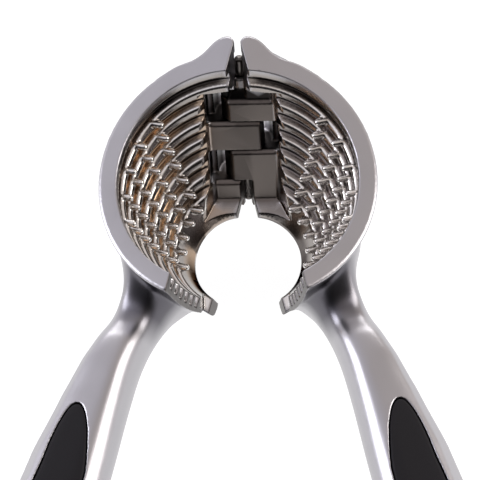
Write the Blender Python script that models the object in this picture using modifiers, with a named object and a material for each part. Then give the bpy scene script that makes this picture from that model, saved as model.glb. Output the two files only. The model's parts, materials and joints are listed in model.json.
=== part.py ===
"""Conical nutcracker: two cast arms that swing on one slanted pin.

Each arm is a single casting: half of an oblique, ridged cone with rows of pegs,
two hinge knuckles, a flat rim with an ear, and a long oval handle with a soft
black inlay let into its front and its back.

Both arms are drawn in the closed frame: +X right, +Y from the handles to the
hinge, +Z out of the cone's mouth, rim faces at z = 0 and parting plane at x = 0.
Everything is written for the left arm, and the right arm is its mirror image.
Then the arms are swung open about the pin and the whole tool is laid on its back.
"""
import math

import bmesh
import bpy
from mathutils import Matrix, Vector

MM = 0.001

# Cone jaw, front to back
MOUTH_RADIUS = 25.0 * MM
THROAT_RADIUS = 10.45 * MM
THROAT_DEPTH = 34.9 * MM
THROAT_LAND = 1.7 * MM
REAR_DEPTH = THROAT_DEPTH + THROAT_LAND
REAR_SLOPE = 0.11
JAW_BULGE = 1.52 * MM
THROAT_DROP = 9.14 * MM
MOUTH_OFFSET = 6.2 * MM
THROAT_OFFSET = 3.16 * MM
LAND_LEAN = (-0.2, 0.1)
WALL = 4.0 * MM
REAR_WALL = 3.3 * MM
LIP_CHAMFER = 1.3 * MM
PARTING_GAP = 0.2 * MM
TURN_STEPS = 56
SHARP_ANGLE = math.radians(35.0)
FACET_TURN = math.radians(13.0)
# How far a cutter runs on past what it cuts
PASS = 3.0 * MM

# Rim face and ear
RIM_WIDTH = 4.1 * MM
RIM_DEPTH = 2.4 * MM
RIM_ROUND = 0.8 * MM
EAR_DEPTH = 6.5 * MM
EAR_HEIGHT = 31.9 * MM
EAR_WIDTH = 6.6 * MM

# Ridges and pegs inside the jaw
RIDGE_COUNT = 7
RIDGE_PITCH = 4.0 * MM
FIRST_RIDGE = 5.2 * MM
RIDGE_WIDTH = 0.9 * MM
RIDGE_ROUND = 0.2 * MM
GROOVE_DEPTH = 1.9 * MM
GROOVE_SLOPE = 1.4 * MM
PEG_COLUMNS = 5
PEG_STEP = math.radians(15.0)
PEG_RADIUS = 0.68 * MM
PEG_REACH = 2.0 * MM
PEG_TIP = 0.5 * MM
PEG_ROOT = 1.6 * MM

# Hinge: a pin along the slanted upper wall
HINGE_HEIGHT = 33.4 * MM
HINGE_SLOPE = math.radians(34.1)
HALF_OPENING = math.radians(17.8)
HINGE_TAIL = 3.1 * MM
KNUCKLE_RADIUS = 4.6 * MM
KNUCKLE_FACE = 4.0 * MM
KNUCKLE_CLEARANCE = 0.35 * MM
NOSE_RADIUS = 2.6 * MM
NOSE_START = 11.5 * MM
KNUCKLE_BEVEL = 0.8 * MM
KNUCKLE_STARTS = (16.5 * MM, 22.65 * MM, 30.75 * MM, 39.35 * MM)
KNUCKLE_LAST = REAR_DEPTH / math.cos(HINGE_SLOPE) + HINGE_TAIL
KNUCKLE_SEAT = 0.05 * MM
KNUCKLE_ROOT = 0.3 * MM
KNUCKLE_LIFT = 0.6 * MM
PIN_RADIUS = 1.1 * MM
PIN_START = 7.6 * MM
PIN_INSET = 0.3 * MM
PIN_END = KNUCKLE_LAST - PIN_INSET
PIN_DOME = 0.5 * MM
PIN_CLEARANCE = 0.3 * MM
BLOCK_START = 8.0 * MM
BLOCK_WIDTH = 13.0 * MM
BLOCK_DROP = 9.5 * MM
POCKET_REACH = 8.0 * MM
RECESS_REACH = 6.9 * MM
RECESS_START = 12.5 * MM
RECESS_FLARE = 2.2 * MM
SHELF_LEDGE = 0.6 * MM
SHELF_DEPTH = THROAT_DEPTH - SHELF_LEDGE
REAR_STEP = 2.8 * MM
EAR_RECESS_START = 4.5 * MM
EAR_RECESS_RADIUS = 2.0 * MM
REAR_WRAP = math.radians(20.0)
WIDEST_SWING = math.radians(66.0)

# Handle
HANDLE_END = -157.0 * MM
HANDLE_SPREAD = 27.4 * MM
HANDLE_FRONT = 5.0 * MM
HANDLE_THICKNESS = 15.0 * MM
HANDLE_CAP = 7.0 * MM
HANDLE_ROUNDNESS = 2.2
HANDLE_SQUARENESS = 3.2
HANDLE_SIDES = 24
HANDLE_STEP = 6.5 * MM
NECK_STEPS = 8

# Soft inlays in the handle
GRIP_TOP = -55.9 * MM
GRIP_BOTTOM = -143.0 * MM
GRIP_WIDTH = 12.4 * MM
GRIP_LEAN = 1.7 * MM
GRIP_SHIFT = 0.3 * MM
GRIP_POCKET_DEPTH = 3.2 * MM
GRIP_CLEARANCE = 0.3 * MM

LEFT = -1
RIGHT = 1

HINGE_POINT = Vector((0.0, HINGE_HEIGHT, 0.0))
HINGE_AXIS = Vector((0.0, -math.sin(HINGE_SLOPE), -math.cos(HINGE_SLOPE)))
HINGE_OUT = Vector((0.0, math.cos(HINGE_SLOPE), -math.sin(HINGE_SLOPE)))


def clear_scene():
    for item in list(bpy.data.objects):
        bpy.data.objects.remove(item, do_unlink=True)


def make_collection(name):
    collection = bpy.data.collections.new(name)
    bpy.context.scene.collection.children.link(collection)
    return collection


def make_material(name, color, roughness, metallic):
    material = bpy.data.materials.new(name)
    material.use_nodes = True
    shader = material.node_tree.nodes["Principled BSDF"]
    shader.inputs["Base Color"].default_value = (*color, 1.0)
    shader.inputs["Roughness"].default_value = roughness
    shader.inputs["Metallic"].default_value = metallic
    material.diffuse_color = (*color, 1.0)
    return material


def crest_radius(depth):
    """Inner radius of the jaw at a depth behind the rim, on the ridges' crests."""
    t = min(depth / THROAT_DEPTH, 1.0)
    return MOUTH_RADIUS + (THROAT_RADIUS - MOUTH_RADIUS) * t + JAW_BULGE * 4.0 * t * (1.0 - t)


def outer_radius(depth):
    """Outer radius of the jaw, whose wall thins towards the small end."""
    t = min(depth / THROAT_DEPTH, 1.0)
    return crest_radius(depth) + WALL + (REAR_WALL - WALL) * t


def circle_centre(depth):
    """The jaw's circles slide towards the handles and the parting plane with depth."""
    t = min(depth / THROAT_DEPTH, 1.0)
    past = max(depth - THROAT_DEPTH, 0.0)
    return (MOUTH_OFFSET + (THROAT_OFFSET - MOUTH_OFFSET) * t + LAND_LEAN[0] * past,
            -THROAT_DROP * t + LAND_LEAN[1] * past)


def rear_depth(y):
    """The small end is cut a little aslant, deepest at the handles' side."""
    return REAR_DEPTH - REAR_SLOPE * y


def hinge_place(x, out, along):
    """A point in the hinge's own directions: across, away from the jaw, down the pin."""
    return Vector((x, 0.0, 0.0)) + HINGE_POINT + HINGE_OUT * out + HINGE_AXIS * along


def finish_mesh(name, mesh, side, collection, empty):
    """Mirror for the right arm, put the origin on the pin and hang it on the arm's empty."""
    mirror = Matrix.Diagonal((-side, 1.0, 1.0, 1.0))
    mesh.transform(Matrix.Translation(-HINGE_POINT) @ mirror)
    if side == RIGHT:
        mesh.flip_normals()
    item = bpy.data.objects.new(name, mesh)
    item.parent = empty
    collection.objects.link(item)
    return item


def mesh_from(name, bm):
    bmesh.ops.recalc_face_normals(bm, faces=bm.faces)
    mesh = bpy.data.meshes.new(name)
    bm.to_mesh(mesh)
    bm.free()
    return mesh


def shade_round(mesh):
    """Smooth shading, except over real edges."""
    mesh.shade_smooth()
    mesh.set_sharp_from_angle(angle=SHARP_ANGLE)
    return mesh


def turned_mesh(name, profile, phase=0.0, slant_from=None):
    """A Screw-turned solid, sheared so that its circles follow circle_centre.

    The profile holds (radius, depth) pairs, front to back, and starts and ends on the axis.
    The phase turns the facets, in steps, so that two such solids share no edges.
    Rings past slant_from follow the aslant small end.
    """
    outline = bpy.data.meshes.new(name + "_profile")
    points = [(radius, 0.0, -depth) for radius, depth in profile]
    outline.from_pydata(points, [(i, i + 1) for i in range(len(points) - 1)], [])
    item = bpy.data.objects.new(name + "_profile", outline)
    bpy.context.scene.collection.objects.link(item)
    screw = item.modifiers.new("turn", "SCREW")
    screw.axis = "Z"
    screw.steps = TURN_STEPS
    screw.render_steps = TURN_STEPS
    screw.use_merge_vertices = True
    screw.merge_threshold = 0.01 * MM
    graph = bpy.context.evaluated_depsgraph_get()
    mesh = bpy.data.meshes.new_from_object(item.evaluated_get(graph))
    bpy.data.objects.remove(item)
    mesh.name = name
    mesh.transform(Matrix.Rotation(phase * 2.0 * math.pi / TURN_STEPS, 4, "Z"))
    for vertex in mesh.vertices:
        depth = -vertex.co.z
        across, down = circle_centre(depth)
        vertex.co.x += across
        vertex.co.y += down
        if slant_from is not None and depth > slant_from:
            vertex.co.z -= rear_depth(vertex.co.y) - REAR_DEPTH
    bm = bmesh.new()
    bm.from_mesh(mesh)
    bmesh.ops.recalc_face_normals(bm, faces=bm.faces)
    bm.to_mesh(mesh)
    bm.free()
    return shade_round(mesh)


def outer_profile():
    """Rim with a rounded edge, then the wall, then the chamfered lip."""
    rim = MOUTH_RADIUS + RIM_WIDTH
    points = [(0.0, 0.0), (rim - RIM_ROUND, 0.0), (rim - 0.3 * RIM_ROUND, 0.3 * RIM_ROUND)]
    points += [(rim, RIM_ROUND), (outer_radius(RIM_DEPTH), RIM_DEPTH)]
    steps = 6
    last = REAR_DEPTH - LIP_CHAMFER
    for i in range(1, steps + 1):
        depth = RIM_DEPTH + (last - RIM_DEPTH) * i / steps
        points.append((outer_radius(depth), depth))
    points.append((outer_radius(REAR_DEPTH) - LIP_CHAMFER, REAR_DEPTH))
    points.append((0.0, REAR_DEPTH))
    return points


def cavity_profile():
    """The hollow: a groove in front of every ridge, then a smooth throat."""
    beyond = REAR_DEPTH + 2.0 * PASS
    points = [(0.0, -PASS), (crest_radius(-PASS), -PASS)]
    for i in range(RIDGE_COUNT):
        ridge = FIRST_RIDGE + RIDGE_PITCH * i
        start = ridge - RIDGE_PITCH + RIDGE_WIDTH / 2.0
        floor = start + GROOVE_SLOPE
        end = ridge - RIDGE_WIDTH / 2.0
        points.append((crest_radius(start), start))
        points.append((crest_radius(floor) + GROOVE_DEPTH, floor))
        points.append((crest_radius(end) + GROOVE_DEPTH, end - RIDGE_ROUND))
        points.append((crest_radius(end) + RIDGE_ROUND, end))
        points.append((crest_radius(end + RIDGE_ROUND), end + RIDGE_ROUND))
    last = FIRST_RIDGE + RIDGE_PITCH * (RIDGE_COUNT - 1) + RIDGE_WIDTH
    for depth in (last, (last + THROAT_DEPTH) / 2.0, THROAT_DEPTH, beyond):
        points.append((crest_radius(depth), depth))
    points.append((0.0, beyond))
    return points


def smooth_path(points, per_span):
    """Points along a Catmull-Rom curve through the given ones, ends included."""
    path = []
    for i in range(len(points) - 1):
        before = points[max(i - 1, 0)]
        start, end = points[i], points[i + 1]
        after = points[min(i + 2, len(points) - 1)]
        for step in range(per_span):
            t = step / per_span
            path.append(tuple(
                0.5 * (2.0 * b + (c - a) * t + (2.0 * a - 5.0 * b + 4.0 * c - d) * t * t
                       + (3.0 * b - a - 3.0 * c + d) * t ** 3)
                for a, b, c, d in zip(before, start, end, after)))
    path.append(tuple(points[-1]))
    return path


def prism_mesh(name, corners):
    """A closed prism between two matching rings of corners."""
    bm = bmesh.new()
    rings = [[bm.verts.new(corner) for corner in ring] for ring in corners]
    bm.faces.new(rings[0])
    bm.faces.new(list(reversed(rings[1])))
    count = len(rings[0])
    for i in range(count):
        j = (i + 1) % count
        bm.faces.new((rings[0][i], rings[1][i], rings[1][j], rings[0][j]))
    return mesh_from(name, bm)


def ear_mesh():
    """Flat plate behind the rim face that sweeps up from the rim to the ear's round top."""
    rim = MOUTH_RADIUS + RIM_WIDTH
    root_y = 0.66 * rim
    root_x = MOUTH_OFFSET - math.sqrt(rim ** 2 - root_y ** 2)
    outline = smooth_path([
        (root_x, root_y),
        (-1.82 * EAR_WIDTH, 0.712 * EAR_HEIGHT),
        (-1.29 * EAR_WIDTH, 0.783 * EAR_HEIGHT),
        (-EAR_WIDTH, 0.846 * EAR_HEIGHT),
        (-0.74 * EAR_WIDTH, 0.934 * EAR_HEIGHT),
        (-0.5 * EAR_WIDTH, 0.983 * EAR_HEIGHT),
        (-0.27 * EAR_WIDTH, EAR_HEIGHT),
        (-0.08 * EAR_WIDTH, 0.99 * EAR_HEIGHT),
        (0.0, 0.968 * EAR_HEIGHT),
    ], 2)
    outline.append((PASS, 0.95 * EAR_HEIGHT))
    outline.append((PASS, 0.768 * EAR_HEIGHT))
    outline.append((root_x + PASS, root_y - 0.5 * PASS))
    rings = []
    for inset, depth in ((RIM_ROUND, 0.0), (0.0, RIM_ROUND), (0.0, EAR_DEPTH)):
        centre = Vector((-0.3 * EAR_WIDTH, 0.815 * EAR_HEIGHT))
        ring = []
        for x, y in outline:
            away = Vector((x, y)) - centre
            place = centre + away * (1.0 - inset / away.length)
            ring.append((place.x, place.y, -depth))
        rings.append(ring)
    return loft_mesh("ear_plate", rings)


def loft_mesh(name, rings):
    """A closed skin over rings that all have the same number of points."""
    bm = bmesh.new()
    loops = [[bm.verts.new(point) for point in ring] for ring in rings]
    count = len(loops[0])
    for first, second in zip(loops, loops[1:]):
        for i in range(count):
            j = (i + 1) % count
            bm.faces.new((first[i], first[j], second[j], second[i]))
    bm.faces.new(list(reversed(loops[0])))
    bm.faces.new(loops[-1])
    return shade_round(mesh_from(name, bm))


def handle_rows():
    """The handle's edges at chosen heights, drawn in millimetres and scaled to the sizes above."""
    table = [
        # y, outer edge, inner edge, front, back
        (-18.0, -16.5, 2.0, 1.5, 33.0),
        (-23.0, -13.7, 0.4, 3.0, 32.0),
        (-26.5, -12.5, -1.7, 6.5, 29.0),
        (-30.0, -12.5, -3.4, 8.6, 26.0),
        (-34.0, -13.6, -4.5, 7.8, 23.4),
        (-39.0, -15.6, -5.1, 6.0, 21.4),
        (-45.0, -17.5, -5.5, 5.1, 20.2),
        (-54.0, -19.8, -5.6, 5.0, 20.0),
        (-68.0, -23.2, -5.4, 5.0, 20.0),
        (-92.0, -26.5, -5.6, 5.0, 20.0),
        (-118.0, -27.4, -6.3, 5.2, 19.8),
        (-140.0, -26.2, -7.5, 5.8, 19.2),
        (-157.0, -23.6, -9.5, 6.6, 18.4),
    ]
    across = HANDLE_SPREAD / 27.4
    scales = (HANDLE_END / -157.0, across, across, HANDLE_FRONT / 5.0,
              (HANDLE_FRONT + HANDLE_THICKNESS) / 20.0)
    return [tuple(value * scale for value, scale in zip(row, scales)) for row in table]


def handle_station(y):
    """Centre and half sizes of the handle's section at a height: x, z, half width, half depth."""
    rows = handle_rows()
    position = 0.0
    for i in range(len(rows) - 1):
        if rows[i][0] >= y >= rows[i + 1][0]:
            position = i + (rows[i][0] - y) / (rows[i][0] - rows[i + 1][0])
    i = min(int(position), len(rows) - 2)
    t = position - i
    quad = [rows[max(i - 1, 0)], rows[i], rows[i + 1], rows[min(i + 2, len(rows) - 1)]]
    values = []
    for k in range(1, 5):
        a, b, c, d = (row[k] for row in quad)
        slope_in = (c - a) / 2.0
        slope_out = (d - b) / 2.0
        values.append(b * (1 - t) ** 2 * (1 + 2 * t) + c * t * t * (3 - 2 * t)
                      + slope_in * t * (1 - t) ** 2 - slope_out * t * t * (1 - t))
    outer, inner, near, far = values
    return (outer + inner) / 2.0, -(near + far) / 2.0, (inner - outer) / 2.0, (far - near) / 2.0


def handle_ring(y, shrink):
    """One section across the handle: square towards the outer side, round on the inner."""
    cx, cz, half_width, half_depth = handle_station(y)
    ring = []
    for i in range(HANDLE_SIDES):
        angle = 2.0 * math.pi * i / HANDLE_SIDES
        c, s = math.cos(angle), math.sin(angle)
        blend = 0.5 + 0.5 * c
        power = 2.0 / (HANDLE_SQUARENESS + (HANDLE_ROUNDNESS - HANDLE_SQUARENESS) * blend)
        x = half_width * shrink * math.copysign(abs(c) ** power, c)
        z = half_depth * shrink * math.copysign(abs(s) ** power, s)
        ring.append((cx + x, y, cz + z))
    return ring


def handle_mesh():
    """Loft from inside the jaw wall down to the rounded end of the handle."""
    top = handle_rows()[0][0]
    straight_end = HANDLE_END + HANDLE_CAP
    fine = [top - 0.46 * HANDLE_STEP * i for i in range(NECK_STEPS + 1)]
    count = round((fine[-1] - straight_end) / HANDLE_STEP)
    coarse = [fine[-1] - (fine[-1] - straight_end) * i / count for i in range(1, count + 1)]
    rings = [handle_ring(y, 1.0) for y in fine + coarse]
    for angle in (22.5, 45.0, 67.5, 84.0):
        turn = math.radians(angle)
        y = straight_end - HANDLE_CAP * math.sin(turn)
        rings.append(handle_ring(y, 0.35 + 0.65 * math.cos(turn)))
    return loft_mesh("handle_loft", rings)


def grip_outline(inset):
    """Teardrop seen from the front: pointed towards the jaw, blunt at the handle's end."""
    left, right = [], []
    count = 14
    top = GRIP_TOP - inset
    bottom = GRIP_BOTTOM + inset
    for i in range(count + 1):
        t = i / count
        y = top + (bottom - top) * (0.5 - 0.5 * math.cos(math.pi * t))
        down = (top - y) / (top - bottom)
        swell = (1.0 - (1.0 - min(down / 0.42, 1.0)) ** 2.4) ** 0.5
        close = (1.0 - max((down - 0.72) / 0.28, 0.0) ** 2.2) ** 0.5
        half = (GRIP_WIDTH / 2.0 - inset) * swell * close
        settled = min(down / 0.16, 1.0)
        cx = handle_station(y)[0] - GRIP_LEAN * (1.0 - settled) + GRIP_SHIFT * settled
        left.append((cx - half, y))
        right.append((cx + half, y))
    return left + list(reversed(right[1:-1]))


def grip_prism(name, inset, near, far):
    outline = grip_outline(inset)
    rings = [[(x, y, -near) for x, y in outline], [(x, y, -far) for x, y in outline]]
    return prism_mesh(name, rings)


def grip_depths(face, clearance):
    """From the pocket's flat floor to well outside the handle's skin."""
    if face == "front":
        return -PASS, HANDLE_FRONT + GRIP_POCKET_DEPTH - clearance
    back = HANDLE_FRONT + HANDLE_THICKNESS
    return back - GRIP_POCKET_DEPTH + clearance, back + PASS


def add_grip(arm, face, material):
    """Cut a flat-bottomed pocket in the handle and fill it with an inlay flush with its skin."""
    near, far = grip_depths(face, 0.0)
    arm.cut(grip_prism("grip_pocket_" + face, 0.0, near, far))
    near, far = grip_depths(face, GRIP_CLEARANCE)
    inlay = finish_mesh("%s_grip_%s" % (arm.label, face),
                        grip_prism("inlay_" + face, GRIP_CLEARANCE, near, far),
                        arm.side, arm.parts, arm.empty)
    inlay.data.materials.append(material)
    arm.change("INTERSECT", handle_mesh(), inlay)
    return inlay


def hinge_prism(name, outline, start, end):
    """An outline drawn across the pin, as (across, out) pairs, run down the pin."""
    rings = [[hinge_place(x, out, along) for x, out in outline] for along in (start, end)]
    return prism_mesh(name, rings)


def turned_to_open(x, out):
    """Turn a point about the pin, so that it lies square once this arm is swung open."""
    c, s = math.cos(HALF_OPENING), math.sin(HALF_OPENING)
    return c * x - s * out, s * x + c * out


def arc(radius, first, last, steps):
    """Points round the pin between two angles."""
    return [(radius * math.cos(first + (last - first) * i / steps),
             radius * math.sin(first + (last - first) * i / steps)) for i in range(steps + 1)]


def hinge_block_mesh():
    """Rib behind the upper wall that carries the knuckles."""
    top = KNUCKLE_RADIUS
    wide = -BLOCK_WIDTH
    outline = [(wide, -BLOCK_DROP), (0.88 * wide, -0.44 * BLOCK_DROP), (0.72 * wide, -0.04 * BLOCK_DROP),
               (0.57 * wide, 0.48 * top), (0.35 * wide, 0.87 * top), (0.15 * wide, 0.98 * top),
               (PASS, top), (PASS, -BLOCK_DROP)]
    return hinge_prism("hinge_block", outline, BLOCK_START, KNUCKLE_LAST)


def above_pin_mesh():
    """Room over the pin, where the two arms swing together as the jaws open."""
    lean = math.tan(WIDEST_SWING / 2.0) * 1.25
    height = 3.0 * KNUCKLE_RADIUS
    foot = -0.5 * PIN_RADIUS
    front = -height * math.tan(HINGE_SLOPE) - PASS
    outline = [(PASS, foot), (PASS, height), (-lean * height, height), (foot, foot)]
    return hinge_prism("above_pin", outline, front, KNUCKLE_LAST + 2.0 * PASS)


def crest_out(x, along):
    """How far out the ridges' crests lie, across and along the pin of the opened arm."""
    inside, outside = -1.2 * MOUTH_RADIUS, 0.0
    for _ in range(30):
        middle = (inside + outside) / 2.0
        place = hinge_place(*turned_to_open(x, middle), along)
        across, down = circle_centre(-place.z)
        if math.hypot(place.x - across, place.y - down) < crest_radius(-place.z):
            inside = middle
        else:
            outside = middle
    return inside


def recess_mesh():
    """The ridges stop beside the knuckles, at the flared sides of a flat recess along the pin.

    It ends at a shelf that faces forwards, just in front of the throat's last stretch.
    """
    floor = -KNUCKLE_FACE + KNUCKLE_BEVEL
    far = 1.2 * MOUTH_RADIUS
    deep = -far
    flare_end = -RECESS_REACH - RECESS_FLARE
    shelf = (SHELF_DEPTH - deep * math.sin(HINGE_SLOPE)) / math.cos(HINGE_SLOPE)
    last = (SHELF_DEPTH - floor * math.sin(HINGE_SLOPE)) / math.cos(HINGE_SLOPE)
    rings = []
    stations = 5
    for i in range(stations + 1):
        along = RECESS_START + (last - RECESS_START) * i / stations
        start_out = crest_out(-RECESS_REACH, along) + RECESS_FLARE
        end_out = crest_out(flare_end, along) - 0.2 * RECESS_FLARE
        corners = [(-RECESS_REACH, floor), (-RECESS_REACH, start_out), (flare_end, end_out),
                   (flare_end, deep), (far, deep), (far, floor)]
        ring = []
        for x, out in corners:
            place = along
            if i == stations:
                place = (SHELF_DEPTH - out * math.sin(HINGE_SLOPE)) / math.cos(HINGE_SLOPE)
            elif i > 0 and out == deep:
                place = RECESS_START + (shelf - RECESS_START) * i / stations
            ring.append(hinge_place(*turned_to_open(x, out), place))
        rings.append(ring)
    return loft_mesh("recess", rings)


def rear_cut_mesh():
    """Trims what hangs on the hinge's inner side flush with the cone's small end."""
    clear = KNUCKLE_SEAT
    top = -REAR_STEP
    corner = hinge_place(0.0, top, 0.0)
    slope = math.tan(HINGE_SLOPE)
    depth = (REAR_DEPTH + clear - REAR_SLOPE * (corner.y + corner.z * slope)) / (1.0 - REAR_SLOPE * slope)
    start_y = corner.y - (depth + corner.z) * slope
    wide = 0.8 * MOUTH_RADIUS
    low_y = -0.7 * wide
    outline = [(start_y, depth), (start_y - wide * slope, depth + wide), (low_y, depth + wide),
               (low_y, rear_depth(low_y) + clear)]
    rings = [[(x, y, -z) for y, z in outline] for x in (-wide, wide)]
    return prism_mesh("rear_cut", rings)


def pocket_mesh(name, start, end):
    """Room for one of the other arm's knuckles, whose square inner corner swings widest."""
    swing = math.hypot(KNUCKLE_RADIUS, KNUCKLE_FACE) + KNUCKLE_CLEARANCE
    deep = -1.2 * MOUTH_RADIUS
    outline = [(swing, deep), (-POCKET_REACH, deep), (-POCKET_REACH, -KNUCKLE_BEVEL)]
    outline += arc(swing, math.pi, 0.0, 12)
    outline = [turned_to_open(x, out) for x, out in outline]
    return hinge_prism(name, outline, start, end)


def rear_pocket_mesh(name, start, end):
    """Room for the other arm's rear barrel, which wraps only the outer side of the pin."""
    first = math.pi + WIDEST_SWING - REAR_WRAP + math.radians(3.0)
    outline = arc(KNUCKLE_RADIUS + KNUCKLE_CLEARANCE, first, 0.0, 18) + [(0.0, 0.0)]
    return hinge_prism(name, outline, start, end)


def knuckle_mesh(name, start, end):
    """Barrel round the pin with a flat inner face, a square corner and a bevelled front edge."""
    side = -RECESS_REACH - KNUCKLE_ROOT
    back = arc(KNUCKLE_RADIUS, 0.0, 0.8 * math.pi, 9)
    rings = []
    for along, face in ((start, KNUCKLE_FACE - KNUCKLE_BEVEL), (start + KNUCKLE_BEVEL, KNUCKLE_FACE),
                        (end, KNUCKLE_FACE)):
        outline = [(side, KNUCKLE_LIFT), (side, -face), (KNUCKLE_RADIUS, -face)] + back
        turned = [turned_to_open(x, out) for x, out in outline]
        rings.append([hinge_place(x, out, along) for x, out in turned])
    return loft_mesh(name, rings)


def rear_knuckle_mesh(name, start, end):
    """Its inner face ends at the parting plane, so that the pin shows, and its barrel wraps over."""
    root = -RECESS_REACH - KNUCKLE_ROOT
    side = turned_to_open(root, KNUCKLE_LIFT)
    rings = []
    for along, face in ((start, KNUCKLE_FACE - KNUCKLE_BEVEL), (start + KNUCKLE_BEVEL, KNUCKLE_FACE),
                        (end, KNUCKLE_FACE)):
        low = turned_to_open(root, -face)
        lift = (-PARTING_GAP - low[0]) * math.tan(HALF_OPENING)
        outline = [side, low, (-PARTING_GAP, low[1] + lift), (-PARTING_GAP, 0.0)]
        outline += arc(KNUCKLE_RADIUS, REAR_WRAP, 0.8 * math.pi, 9)
        rings.append([hinge_place(x, out, along) for x, out in outline])
    return loft_mesh(name, rings)


def pad_mesh(name, start, end):
    """The inner face of the arm that has no barrel at the rear, flush with the knuckles."""
    root = -RECESS_REACH - KNUCKLE_ROOT
    low = turned_to_open(root, -KNUCKLE_FACE)
    lift = (-PARTING_GAP - low[0]) * math.tan(HALF_OPENING)
    top = turned_to_open(root, -0.4 * KNUCKLE_FACE)
    outline = [top, low, (-PARTING_GAP, low[1] + lift),
               (-PARTING_GAP, -PIN_RADIUS - PIN_CLEARANCE)]
    return hinge_prism(name, outline, start, end)


def pegs_mesh(name):
    """Rows of round-ended pegs, one row on each ridge, all pointing at the other arm."""
    bm = bmesh.new()
    sides = 6
    for row in range(RIDGE_COUNT):
        depth = FIRST_RIDGE + RIDGE_PITCH * row
        radius = crest_radius(depth)
        across, down = circle_centre(depth)
        for column in range(PEG_COLUMNS):
            angle = PEG_STEP * (column - (PEG_COLUMNS - 1) / 2.0)
            x = across - radius * math.cos(angle)
            y = down + radius * math.sin(angle)
            loops = []
            for reach, size in ((-PEG_ROOT, 1.1), (PEG_REACH - PEG_TIP, 1.0), (PEG_REACH, 0.5)):
                loop = []
                for i in range(sides):
                    turn = 2.0 * math.pi * i / sides + FACET_TURN
                    offset = PEG_RADIUS * size
                    loop.append(bm.verts.new((x + reach, y + offset * math.cos(turn),
                                              -depth + offset * math.sin(turn))))
                loops.append(loop)
            for first, second in zip(loops, loops[1:]):
                for i in range(sides):
                    j = (i + 1) % sides
                    bm.faces.new((first[i], first[j], second[j], second[i]))
            bm.faces.new(list(reversed(loops[0])))
            bm.faces.new(loops[-1])
    return shade_round(mesh_from(name, bm))


def parting_box_mesh(name):
    """Everything on the far side of the parting plane."""
    low, high = -PARTING_GAP, 2.0 * REAR_DEPTH
    bottom, top = HANDLE_END - PASS, EAR_HEIGHT + PASS
    rings = []
    for z in (high, -high):
        rings.append([(low, bottom, z), (high, bottom, z), (high, top, z), (low, top, z)])
    return prism_mesh(name, rings)


class Arm:
    """One casting, built by joining and cutting hidden helper solids."""

    def __init__(self, label, side, empty, parts, cutters):
        self.label = label
        self.side = side
        self.empty = empty
        self.parts = parts
        self.cutters = cutters
        self.body = None

    def start(self, mesh, material):
        self.body = finish_mesh(self.label + "_arm", mesh, self.side, self.parts, self.empty)
        self.body.data.materials.append(material)

    def helper(self, mesh):
        name = self.label + "_" + mesh.name
        item = finish_mesh(name, mesh, self.side, self.cutters, self.empty)
        item.hide_render = True
        item.display_type = "WIRE"
        return item

    def change(self, operation, mesh, target=None):
        target = target or self.body
        modifier = target.modifiers.new(operation.lower() + "_" + mesh.name, "BOOLEAN")
        modifier.operation = operation
        modifier.solver = "EXACT"
        modifier.object = self.helper(mesh)

    def join(self, mesh):
        self.change("UNION", mesh)

    def cut(self, mesh):
        self.change("DIFFERENCE", mesh)


def knuckle_span(index):
    ends = KNUCKLE_STARTS[1:] + (KNUCKLE_LAST,)
    return KNUCKLE_STARTS[index], ends[index] - KNUCKLE_CLEARANCE


def round_pin_mesh(name, radius, start, end, turn=0.0):
    """A round bar along the pin. The turn keeps its facets off those of its neighbours."""
    sides = 16
    last = turn + 2.0 * math.pi * (sides - 1) / sides
    return hinge_prism(name, arc(radius, turn, last, sides - 1), start, end)


def build_arm(arm, metal):
    """Cast one arm. The right arm owns knuckles 0 and 2, the left arm 1 and 3."""
    slanted = REAR_DEPTH - 1.5 * LIP_CHAMFER
    arm.start(turned_mesh("jaw_outer", outer_profile(), 0.0, slanted), metal)
    arm.join(ear_mesh())
    arm.join(hinge_block_mesh())
    arm.join(handle_mesh())
    arm.cut(turned_mesh("jaw_cavity", cavity_profile(), 0.5))
    arm.cut(recess_mesh())
    arm.cut(parting_box_mesh("parting"))
    arm.cut(above_pin_mesh())
    nose_end = KNUCKLE_STARTS[0] + KNUCKLE_SEAT
    arm.cut(round_pin_mesh("ear_recess", EAR_RECESS_RADIUS, EAR_RECESS_START, NOSE_START))
    if arm.side == RIGHT:
        arm.join(round_pin_mesh("nose", NOSE_RADIUS, NOSE_START, nose_end))
    else:
        arm.cut(round_pin_mesh("nose_room", NOSE_RADIUS + KNUCKLE_CLEARANCE,
                               NOSE_START - KNUCKLE_CLEARANCE, nose_end))
    for index in range(4):
        start, end = knuckle_span(index)
        owned = (arm.side == RIGHT) == (index % 2 == 0)
        rear = index == 3
        if owned and rear:
            arm.join(rear_knuckle_mesh("knuckle_%d" % index, start, end))
        elif owned:
            arm.join(knuckle_mesh("knuckle_%d" % index, start, end))
        else:
            opening = start - KNUCKLE_CLEARANCE + KNUCKLE_SEAT
            closing = end + KNUCKLE_CLEARANCE - KNUCKLE_SEAT
            if rear:
                arm.join(pad_mesh("rear_pad", opening, end))
                arm.cut(rear_pocket_mesh("pocket_%d" % index, opening, end + PASS))
            else:
                arm.cut(pocket_mesh("pocket_%d" % index, opening, closing))
    arm.cut(rear_cut_mesh())
    arm.cut(round_pin_mesh("bore", PIN_RADIUS + PIN_CLEARANCE, -2.0 * PASS,
                           KNUCKLE_LAST + 2.0 * PASS, FACET_TURN))
    arm.join(pegs_mesh("pegs"))


def pin_mesh():
    """Straight pin with a domed front end."""
    rings = []
    count = 16
    for along, size in ((PIN_START, 0.45), (PIN_START + 0.4 * PIN_DOME, 0.8),
                        (PIN_START + PIN_DOME, 1.0), (PIN_END - 0.3 * PIN_DOME, 1.0),
                        (PIN_END, 0.8)):
        circle = arc(PIN_RADIUS * size, 0.0, 2.0 * math.pi * (count - 1) / count, count - 1)
        rings.append([hinge_place(x, out, along) for x, out in circle])
    return loft_mesh("pin", rings)


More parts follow.
